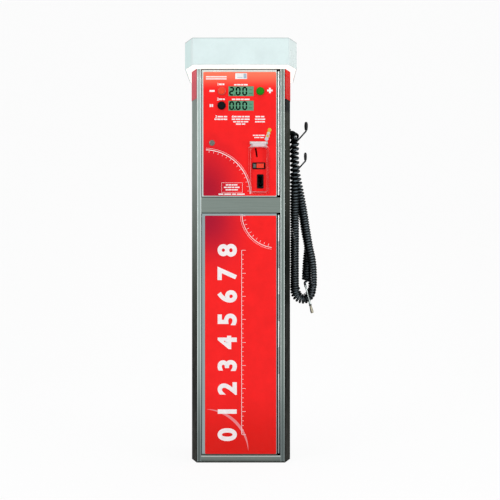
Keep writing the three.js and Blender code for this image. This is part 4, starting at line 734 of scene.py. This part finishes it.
def figures(text, height, middle, front, weight=0.0, upward=False, thickness=ink):
    """Plain figures as flat plates, centred on (x, z), upright or read upwards."""
    curve = bpy.data.curves.new("figures", "FONT")
    curve.body = text
    curve.size = height * 1.38
    curve.offset = weight
    curve.resolution_u = 6
    curve.extrude = thickness / 2
    holder = bpy.data.objects.new("figures", curve)
    bpy.context.scene.collection.objects.link(holder)
    mesh = bpy.data.meshes.new_from_object(holder.evaluated_get(bpy.context.evaluated_depsgraph_get()))
    flat = np.zeros(len(mesh.vertices) * 3)
    mesh.vertices.foreach_get("co", flat)
    flat = flat.reshape(-1, 3)
    faces = [list(face.vertices) for face in mesh.polygons]
    bpy.data.objects.remove(holder)
    bpy.data.curves.remove(curve)
    bpy.data.meshes.remove(mesh)
    flat[:, :2] -= (flat[:, :2].min(axis=0) + flat[:, :2].max(axis=0)) / 2
    x, z = (-flat[:, 1], flat[:, 0]) if upward else (flat[:, 0], flat[:, 1])
    points = np.column_stack([middle[0] + x, front - thickness / 2 - flat[:, 2], middle[1] + z])
    return points, faces


def printed(name, finish, *shapes, door="control_door", slot="red_print", bevel=0.0):
    """Ink or foil on a door, made of one or more flat shapes."""
    new_piece(name, *together(*shapes), finish, door, slot, bevel=bevel)


white_ink = new_material("white_ink", "#fbf4f4", 0.3, grains=60, dust=0.03, gloss=0.3)
pale_ink = new_material("pale_ink", "#f08a90", 0.3, grains=60, dust=0.03, gloss=0.25)
long_row = (5, 1, 7, 1, 4, 1, 8)
short_row = (6, 1, 4)
control_rows = [
    (-0.0805, -0.0605, 1.3845, 1.3905, short_row), (-0.0800, -0.0590, 1.3300, 1.3355, short_row),
    (-0.025, 0.025, 1.3835, 1.3885, long_row), (-0.033, 0.032, 1.3300, 1.3350, long_row),
    (-0.085, -0.050, 1.2665, 1.2715, short_row), (-0.097, -0.050, 1.2570, 1.2620, long_row),
    (-0.026, 0.032, 1.2665, 1.2715, long_row), (-0.033, 0.032, 1.2570, 1.2620, long_row),
    (-0.028, 0.027, 1.2480, 1.2525, long_row), (-0.018, 0.016, 1.2395, 1.2440, short_row),
    (0.053, 0.086, 1.2665, 1.2715, short_row), (0.052, 0.089, 1.2570, 1.2620, long_row),
    (0.052, 0.088, 1.2480, 1.2525, long_row), (0.044, 0.087, 1.1985, 1.2025, long_row),
    (0.049, 0.084, 1.1905, 1.1945, short_row), (-0.055, -0.013, 1.0165, 1.0210, long_row),
    (-0.062, -0.005, 1.0075, 1.0120, long_row), (-0.056, -0.011, 0.9985, 1.0030, long_row),
    (-0.082, 0.014, 0.9825, 0.9870, long_row),
]
top_rules = [(-0.128, -0.052, 1.4130, 1.4175), (-0.128, -0.052, 1.4055, 1.4095)]
minus_sign = [(-0.1145, -0.0965, 1.3600, 1.3668)]
plus_sign = [
    (0.0965, 0.1163, 1.3616, 1.3684), (0.1030, 0.1098, 1.3684, 1.3749), (0.1030, 0.1098, 1.3551, 1.3616),
]
pause_sign = [(-0.1145, -0.1090, 1.3045, 1.3145), (-0.1072, -0.1017, 1.3045, 1.3145)]
box_left, box_right, box_low, box_high, box_line = -0.071, 0.006, 0.991, 1.027, 0.0008
control_frame = [
    (box_left, box_right, box_low, box_low + box_line), (box_left, box_right, box_high - box_line, box_high),
    (box_left, box_left + box_line, box_low + box_line, box_high - box_line),
    (box_right - box_line, box_right, box_low + box_line, box_high - box_line),
]
control_marks = [bar for row in control_rows for bar in dashes(*row)]
control_marks += top_rules + minus_sign + plus_sign + pause_sign
steps = {"1": (-0.0840, 1.3880), "2": (-0.0840, 1.3335), "3": (-0.0905, 1.2690), "4": (-0.0305, 1.2690)}
gauge_middle = (-0.1335, 0.9795)
printed(
    "control_door_marks", white_ink, bars(control_marks, fascia_front), bars(control_frame, fascia_front),
    *[figures(digit, 0.0098, place, fascia_front, weight=0.0004) for digit, place in steps.items()],
    *[stripe(arc(gauge_middle, radius, 2, 88, 60), width, fascia_front)
      for radius, width in ((0.168, 0.0026), (0.174, 0.0009))],
)
printed("control_door_ticks", white_ink,
        *ticks(gauge_middle, 0.158, 0.165, range(6, 88, 6), 0.0010, fascia_front))

plate_white = new_material("plate_white", "#eef3f4", 0.35, grains=50, dust=0.03)
plate_blue = new_material("plate_blue", "#9fb7c9", 0.35, grains=50, dust=0.03)
plate_thickness = 0.0006
plate_bars = [(0.010, 0.0205, 1.4090, 1.4265), (-0.013, 0.006, 1.4120, 1.4140)]
printed("small_plate", plate_white, bars([(-0.0205, 0.0224, 1.4070, 1.4285)], fascia_front, plate_thickness),
        bevel=0.0002)
printed("small_plate_stripe", plate_blue, bars(plate_bars, fascia_front - plate_thickness))

coin_gold = new_material("coin_gold", "#d9b53c", 0.4, grains=80, gloss=0.3)
coin_silver = new_material("coin_silver", "#cfcfd2", 0.4, grains=80, gloss=0.3)
coin_rows = [
    ((0.1053, 1.2204), coin_gold, coin_gold), ((0.1017, 1.2087), coin_gold, coin_silver),
    ((0.0980, 1.1977), coin_silver, coin_gold), ((0.0943, 1.1874), coin_silver, coin_silver),
]
for i, (middle, rim, core) in enumerate(coin_rows):
    lift = fascia_front - ink * 2 * i
    printed(f"printed_coin_{i + 1}", rim, discs([middle], 0.0070, lift))
    printed(f"printed_coin_{i + 1}_centre", core, discs([middle], 0.0048, lift - ink))

# ---- service door
# A taller door of the same make covers the compressor. Its print has a large pressure scale in white,
# read upwards. A flat steel bolt inside locks it to the cross rail.
service_print = red_print("service_door_print")
fade(service_print, "#ad1a33", Z=(0.66, 0.89), X=(0.06, -0.12))
# Painted shade: the print a darker red towards the floor.
fade(service_print, "#e01a15", Z=(0.30, 0.04))
service_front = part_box("service_door_fascia")[0].y
bolt_steel = brushed_metal("bolt_steel", "#b4bbb9", "#9aa29f", 0.3, upright_lines)
eased(door_steel, service_door_panel=0.0003)
eased(service_print, service_door_fascia=0.0003)
eased(leaf_steel, service_door_leaf=0.0003)
eased(bolt_steel, door_bolt=0.0004)

scale_low, scale_pitch, scale_count, scale_parts = 0.103, 0.0845, 9, 5
scale_x, rule_x, half_tick = -0.050, 0.002, 0.0006
scale_heights = scale_low + scale_pitch * np.arange(scale_count)
scale_digits = [
    figures(str(k), 0.066, (scale_x, z), service_front, weight=0.0036, upward=True)
    for k, z in enumerate(scale_heights)
]
fine_heights = np.linspace(scale_heights[0], scale_heights[-1], scale_parts * (scale_count - 1) + 1)
tick_lengths = np.where(np.arange(len(fine_heights)) % scale_parts == 0, 0.016, 0.008)
rule = [(rule_x, rule_x + 0.0016, scale_heights[0] - half_tick, scale_heights[-1] + half_tick)]
rule += [(rule_x, rule_x + length, z - half_tick, z + half_tick)
         for z, length in zip(fine_heights, tick_lengths)]
dial_middle = (0.130, 0.914)
band_width = 0.0005 + 0.0100 * np.sin(np.linspace(0, np.pi, 60))
printed("service_door_scale", white_ink, *scale_digits, bars(rule, service_front), door="service_door")
printed(
    "service_door_dial", white_ink,
    stripe(arc(dial_middle, 0.126, 181, 262, 60), 0.0020, service_front),
    stripe(arc(dial_middle, 0.132, 181, 262, 60), 0.0008, service_front),
    *ticks(dial_middle, 0.114, 0.122, range(184, 262, 8), 0.0012, service_front), door="service_door",
)
printed("service_door_band", pale_ink,
        stripe(arc((-0.1325, 0.036), 0.160, 3, 87, 60), band_width, service_front, 0.00008),
        door="service_door")

# ---- door gap strips
# Black rubber strips, glued to the stile and the rails, fill the gaps round the doors on the three sides
# that have no hinge. They are painted shade: dark strips that stand in for the shade in those gaps.
gap_shade_rubber = new_material("gap_shade_rubber", "#17161c", 0.6, grains=60, depth=0.0001, dust=0.1,
                           gloss=0.02)
strip_clearance, strip_running_gap, strip_inset, strip_depth = 0.0003, 0.0008, 0.0008, 0.0060
stile_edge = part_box("left_stile")[1].x + strip_clearance
rail_low, rail_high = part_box("cross_rail")
gap_shade_spans = []
for door, below, above in (("control_door", rail_high.z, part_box("canopy_diffuser")[0].z),
                           ("service_door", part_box("bottom_rail")[1].z, rail_low.z)):
    low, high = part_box(f"{door}_panel")
    strip_low, strip_high = below + strip_clearance, above - strip_clearance
    strip_left = low.x - strip_running_gap
    gap_shade_spans += [
        (stile_edge, strip_left, strip_low, strip_high),
        (strip_left, high.x, strip_low, low.z - strip_running_gap),
        (strip_left, high.x, high.z + strip_running_gap, strip_high),
    ]
new_piece("door_gap_shade_strips", *bars(gap_shade_spans, front_plane + strip_inset + strip_depth, strip_depth), gap_shade_rubber,
          "root", "black_rubber")

# ---- read-outs
# Two reflective liquid crystal displays behind windows in the door: the wanted pressure over the
# pressure in the tyre. Dark segments on a grey-green ground.
display = new_material("liquid_crystal", "#64a283", 0.25, grains=40, gloss=0.05)
# Painted shade: the ground darker towards the left, as the shade of the window's edge.
fade(display, "#5a9673", X=(0.02, -0.05))
segment_ink = new_material("segment_ink", "#06130f", 0.35, grains=60, gloss=0.0)
unit_ink = new_material("unit_ink", "#3f6f5b", 0.35, grains=60, gloss=0.05)
digit_width, digit_height, stroke = 0.0182, 0.0325, 0.0058
digit_left, digit_pitch = -0.0430, 0.0240
digit_lift, digit_thickness = 0.0008, 0.0001
lit_segments = {"0": "abcdef", "2": "abged"}


def segment(ends, front):
    """A bar with pointed ends from one (x, z) end to the other."""
    start, end = np.asarray(ends, float)
    along = unit(end - start)
    across = np.array((along[1], -along[0])) * stroke / 2
    tip = along * stroke / 2
    low, high = start + tip, end - tip
    outline = [start, low + across, high + across, end, high - across, low - across]
    return prisms([outline], front, digit_thickness)


def seven_segments(digit, left, middle, front):
    """The lit bars of one digit of a display."""
    inset = stroke / 2
    x0, x1 = left + inset, left + digit_width - inset
    z0, z1, z2 = middle - digit_height / 2 + inset, middle, middle + digit_height / 2 - inset
    ends = {
        "a": ((x0, z2), (x1, z2)), "b": ((x1, z1), (x1, z2)), "c": ((x1, z0), (x1, z1)),
        "d": ((x0, z0), (x1, z0)), "e": ((x0, z0), (x0, z1)), "f": ((x0, z1), (x0, z2)),
        "g": ((x0, z1), (x1, z1)),
    }
    return [segment(ends[name], front) for name in lit_segments[digit]]


for name, value in (("target", "200"), ("reading", "000")):
    low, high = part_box(f"{name}_readout")
    middle = (low.z + high.z) / 2
    face = fascia_front + digit_lift
    eased(display, **{f"{name}_readout": 0.0002})
    lit_bars = [
        shape for k, digit in enumerate(value)
        for shape in seven_segments(digit, digit_left + digit_pitch * k, middle, face)
    ]
    point_x = digit_left + digit_width + (digit_pitch - digit_width) / 2
    point = discs([(point_x, middle - digit_height / 2 + 0.0024)], 0.0022, face, digit_thickness)
    unit_rows = dashes(0.0300, 0.0420, middle - 0.0095, middle - 0.0065, short_row)
    unit_rows += dashes(0.0310, 0.0410, middle + 0.0040, middle + 0.0065, short_row)
    printed(f"{name}_digits", segment_ink, *lit_bars, point, slot="display")
    printed(f"{name}_units", unit_ink, bars(unit_rows, face, digit_thickness), slot="display")

# ---- push-buttons
# Round panel buttons of moulded plastic: a collar clamped through the door by a nut, a cap that is
# pushed 3 mm into it, and a contact block behind.
collar_radius, collar_height = 0.0150, 0.0055
cap_radius, cap_top = 0.0123, 0.0095
outwards = (0, -1, 0)
panel_back = -(0.0018 + 0.0015)


def neck_and_nut(neck, flange, nut_height=0.004, nut_reach=0.0035, gap=0.0003):
    """The half profile of a neck through the door with its nut behind, up to the flange's foot."""
    return [
        (neck, panel_back - nut_height - gap), (neck + nut_reach, panel_back - nut_height - gap),
        (neck + nut_reach, panel_back - gap), (neck, panel_back - gap), (neck, gap), (flange, gap),
    ]


def door_middle(node):
    """The middle of a node's box, on the front of the control door."""
    low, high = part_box(node)
    return (low.x + high.x) / 2, fascia_front, (low.z + high.z) / 2


def moulded(name, code, roughness, gloss):
    """A moulded plastic with a fine grain."""
    return new_material(name, code, roughness, grains=70, depth=0.00004, dust=0.05, gloss=gloss)


collar_profile = (
    [(0, -0.022), (0.011, -0.022)] + neck_and_nut(0.011, collar_radius)
    + arc((collar_radius - 0.0016, collar_height - 0.0016), 0.0016, 0, 90, 7)
    + arc((cap_radius + 0.0009, collar_height - 0.0005), 0.0005, 90, 180, 4)
    + [(cap_radius + 0.0004, 0.001), (0.0044, 0.001), (0.0044, -0.013), (0, -0.013)]
)
cap_profile = (
    [(0, -0.009), (0.004, -0.009), (0.004, 0.0045), (cap_radius, 0.0045)]
    + arc((cap_radius - 0.0020, cap_top - 0.0024), 0.0020, 0, 68, 8)
    + [(cap_radius * 0.6, cap_top - 0.0002), (cap_radius * 0.3, cap_top - 0.00005), (0, cap_top)]
)
block_start, block_depth, block_half = 0.022, 0.016, 0.011
button_looks = {
    "minus": (("#f4401f", 0.3, 0.3), ("#e2574a", 0.25, 0.4)),
    "start": (("#14181b", 0.32, 0.04), ("#0d1114", 0.36, 0.04)),
    "plus": (("#238c1c", 0.3, 0.05), ("#0d7f2b", 0.3, 0.05)),
}
for name, (cap_look, collar_look) in button_looks.items():
    middle = door_middle(f"{name}_button")
    x, z = middle[::2]
    block = bars([(x - block_half, x + block_half, z - block_half, z + block_half)],
                 fascia_front + block_start + block_depth, block_depth)
    collar = together(turned(collar_profile, middle, outwards, 64), block)
    new_piece(f"{name}_collar", *collar, moulded(f"{name}_collar", *collar_look),
              *home_of(f"{name}_button_body"))
    new_piece(f"{name}_cap", *turned(cap_profile, middle, outwards, 64),
              moulded(f"{name}_plastic", *cap_look), *home_of(f"{name}_button"))

# ---- lock
# A chromed cam lock: a housing clamped through the door by a nut, a plug with a keyway that turns in
# it, and a flat cam on its end that swings behind the stile.
lock_plug_radius, lock_flange_radius, lock_neck = 0.0066, 0.0105, 0.009
lock_back = fascia_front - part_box("lock_housing")[1].y
lock_steel = new_material("lock_steel", "#7c7e77", 0.22, grains=150, depth=0.00003, dust=0.1, metal=1.0)
bore = lock_plug_radius + 0.0004
housing_profile = (
    [(bore, lock_back), (lock_neck, lock_back)] + neck_and_nut(lock_neck, lock_flange_radius)
    + arc((lock_flange_radius - 0.0012, 0.0012), 0.0012, 0, 78, 6)
    + [(bore + 0.0006, 0.0026), (bore, 0.0021), (bore, lock_back)]
)


def turned_ring(profile, start, axis, sides=48):
    """A surface of revolution whose profile closes on itself away from the axis."""
    points, faces = turned([(0, 0)] + list(profile[:-1]) + [(0, 0)], start, axis, sides)
    last = (len(profile) - 2) * sides
    k = np.arange(sides)
    after = (k + 1) % sides
    closing = np.stack([last + k, last + after, after, k], axis=1).tolist()
    return points[:-2], faces[:last] + closing


new_piece("lock_ring", *turned_ring(housing_profile, door_middle("lock_housing"), outwards), lock_steel,
          *home_of("lock_housing"))
eased(lock_steel, angle=40, lock_plug=0.0003)
eased(bolt_steel, angle=40, lock_cam=0.0003)

# ---- coin parts
# Black moulded coin parts: the acceptor behind a tilted slot, a bezel with a small window and the
# reject button, and the cup for refused coins. A clear flap hung on a chromed pin keeps the rain off.
black_plastic = new_material("black_plastic", "#101617", 0.4, grains=90, depth=0.00005, dust=0.06,
                             gloss=0.04)
red_button = new_material("reject_plastic", "#f23a22", 0.3, grains=70, depth=0.00004, gloss=0.3)
grey_window = new_material("grey_window", "#56625f", 0.2, grains=70, gloss=0.4)
eased(black_plastic, coin_acceptor=0.0005, reject_bezel=0.0008)
eased(red_button, reject_button=0.0008)
eased(black_plastic, coin_return_cup=0.0006)
eased(grey_sheet, cash_box=0.0005)
bezel_low, bezel_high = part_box("reject_bezel")
window_left, window_width, window_margin = bezel_low.x + 0.0035, 0.0095, 0.0050
window = (window_left, window_left + window_width, bezel_low.z + window_margin,
          bezel_high.z - window_margin)
printed("reject_window", grey_window, bars([window], bezel_low.y, 0.0004), slot="black_plastic",
        bevel=0.0001)

clear = new_material("clear_flap", "#fff0f2", 0.08, grains=30, gloss=0.03)
flap_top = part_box("coin_flap")[1].z
facing = part_of(clear.tree, put(clear.tree, "TexCoord").outputs["Normal"], "Y")
# Painted reflection: the flap's walls, seen edge-on from the front, are made whiter and more opaque than its
# face.
wall_glint_share = remapped(clear.tree, combined(clear.tree, "ABSOLUTE", facing), 0.95, 0.55, 0.0, 0.90)
hood_share = remapped(clear.tree, part_of(clear.tree, clear.place, "Z"), flap_top - 0.020, flap_top - 0.013,
                      0.0, 0.72)
clear.tree.links.new(combined(clear.tree, "MAXIMUM", wall_glint_share, hood_share), clear.shader.inputs["Alpha"])
eased(clear, angle=40, coin_flap=0.0004)
smoothed("flap_pin", chrome, angle=40)

# ---- inside
# A sheet shelf parts the two compartments. Above it a folded plate carries the controller, the power
# supply and the valve block; below stand the air tank and a small piston compressor.
inner_plastic = new_material("controller_grey", "#b4b9b6", 0.55, grains=60, depth=0.00005, dust=0.2)
valve_metal = new_material("valve_block_metal", "#b3b8ba", 0.35, grains=60, depth=0.00003, dust=0.1,
                           metal=1.0)
coil_plastic = new_material("solenoid_plastic", "#15181a", 0.45, grains=80, depth=0.00005, dust=0.15,
                            gloss=0.3)
tank_paint = new_material("tank_paint", "#284c7b", 0.35, grains=20, depth=0.00006, dust=0.3, dust_reach=0.9)
cast_grey = new_material("cast_grey", "#454b50", 0.55, grains=90, depth=0.00025, dust=0.35, dust_reach=0.4,
                         metal=0.3)
eased(grey_sheet, mid_shelf=0.0004, equipment_plate=0.0005)
eased(inner_plastic, control_box=0.0010)
eased(aluminium_tube, power_supply=0.0006)
eased(valve_metal, valve_block=0.0008)
round_parts = {
    "inflate_valve": coil_plastic, "deflate_valve": coil_plastic, "pressure_sensor": valve_metal,
    "air_tank": tank_paint, "compressor": cast_grey, "supply_pipe": brass, "outlet_pipe": black_rubber,
}
for node, finish in round_parts.items():
    smoothed(node, finish, angle=40)

# ---- hose outlet and hooks
# A black moulded elbow is clamped through the right wall by a nut. Below it two steel rods, bent up from
# round feet, carry the hose; each ends in a soft black cap.
eased(black_plastic, angle=40, hose_outlet=0.0003)
rod_steel = new_material("dark_rod", "#23282a", 0.3, grains=80, depth=0.00003, dust=0.1, metal=0.6)
for name in ("upper", "lower"):
    smoothed(f"{name}_hook", rod_steel, angle=40)
    smoothed(f"{name}_hook_cap", black_rubber, angle=60)

# ---- floor, world and lamps
# A white sweep that runs up behind the pillar: it looks white by itself and still takes a soft shadow.
sweep_half_width, sweep_front, sweep_depth = 14.0, -6.0, 4.0
sweep_radius, sweep_top = 1.5, 6.0
bend_angle = np.linspace(0, math.pi / 2, 17)
sweep_bend = sweep_depth - sweep_radius + sweep_radius * np.sin(bend_angle)
sweep_y = np.hstack([sweep_front, sweep_bend, sweep_depth])
sweep_z = np.hstack([0.0, sweep_radius * (1 - np.cos(bend_angle)), sweep_top])
stations = len(sweep_y)
sweep_points = np.concatenate([
    np.column_stack([np.full(stations, side * sweep_half_width), sweep_y, sweep_z]) for side in (-1, 1)
])
sweep_faces = [(i, stations + i, stations + i + 1, i + 1) for i in range(stations - 1)]
sweep_mesh = bpy.data.meshes.new("sweep")
sweep_mesh.from_pydata(sweep_points.tolist(), [], sweep_faces)
sweep_mesh.shade_smooth()
sweep = bpy.data.objects.new("sweep", sweep_mesh)
bpy.context.scene.collection.objects.link(sweep)


def seen_plainly(tree):
    """1 for the camera's rays and for those that shiny and clear surfaces send on, and 0 for the rest."""
    ray = put(tree, "LightPath").outputs
    plainly = combined(tree, "MAXIMUM", ray["Is Camera Ray"], ray["Is Glossy Ray"])
    return combined(tree, "MAXIMUM", plainly, ray["Is Transmission Ray"])


def mix_shaders(tree, share, under, over, output):
    """Two shaders mixed by a share of the second, as a material's or the world's surface."""
    mix = put(tree, "MixShader", {0: share, 1: under.outputs[0], 2: over.outputs[0]})
    tree.links.new(mix.outputs[0], tree.nodes[output].inputs["Surface"])


sweep_material = bpy.data.materials.new("white_sweep")
sweep_material.use_nodes = True
tree = sweep_material.node_tree
tree.nodes.remove(tree.nodes["Principled BSDF"])
sweep_light = put(tree, "Emission", {"Color": (1, 1, 1, 1), "Strength": 1.0})
sweep_paper = put(tree, "BsdfDiffuse", {"Color": (0.86, 0.86, 0.86, 1)})
sweep_share = combined(tree, "MULTIPLY", seen_plainly(tree), 0.92)
mix_shaders(tree, sweep_share, sweep_paper, sweep_light, "Material Output")
sweep_mesh.materials.append(sweep_material)

world = bpy.data.worlds.new("studio")
bpy.context.scene.world = world
world.use_nodes = True
tree = world.node_tree
ambient = put(tree, "Background", {"Color": (0.97, 0.985, 1.0, 1), "Strength": 0.55})
white = put(tree, "Background", {"Color": (1, 1, 1, 1), "Strength": 1.0})
mix_shaders(tree, seen_plainly(tree), ambient, white, "World Output")

lit_middle = Vector((0, 0, 0.8))
lamps = {
    "front_left": ((-2.4, -3.4, 2.6), 1.3, 46),
    "front_right": ((3.0, -3.0, 1.6), 1.2, 36),
    "above": ((0.2, -0.6, 3.6), 2.0, 22),
    "behind": ((0.5, 2.8, 2.8), 2.4, 30),
}
for name, (place, size, power) in lamps.items():
    lamp_data = bpy.data.lights.new(name, "AREA")
    lamp_data.size = size
    lamp_data.energy = power
    lamp = bpy.data.objects.new(name, lamp_data)
    lamp.location = place
    lamp.visible_camera = False
    lamp.rotation_euler = (lit_middle - Vector(place)).to_track_quat("-Z", "Y").to_euler()
    bpy.context.scene.collection.objects.link(lamp)
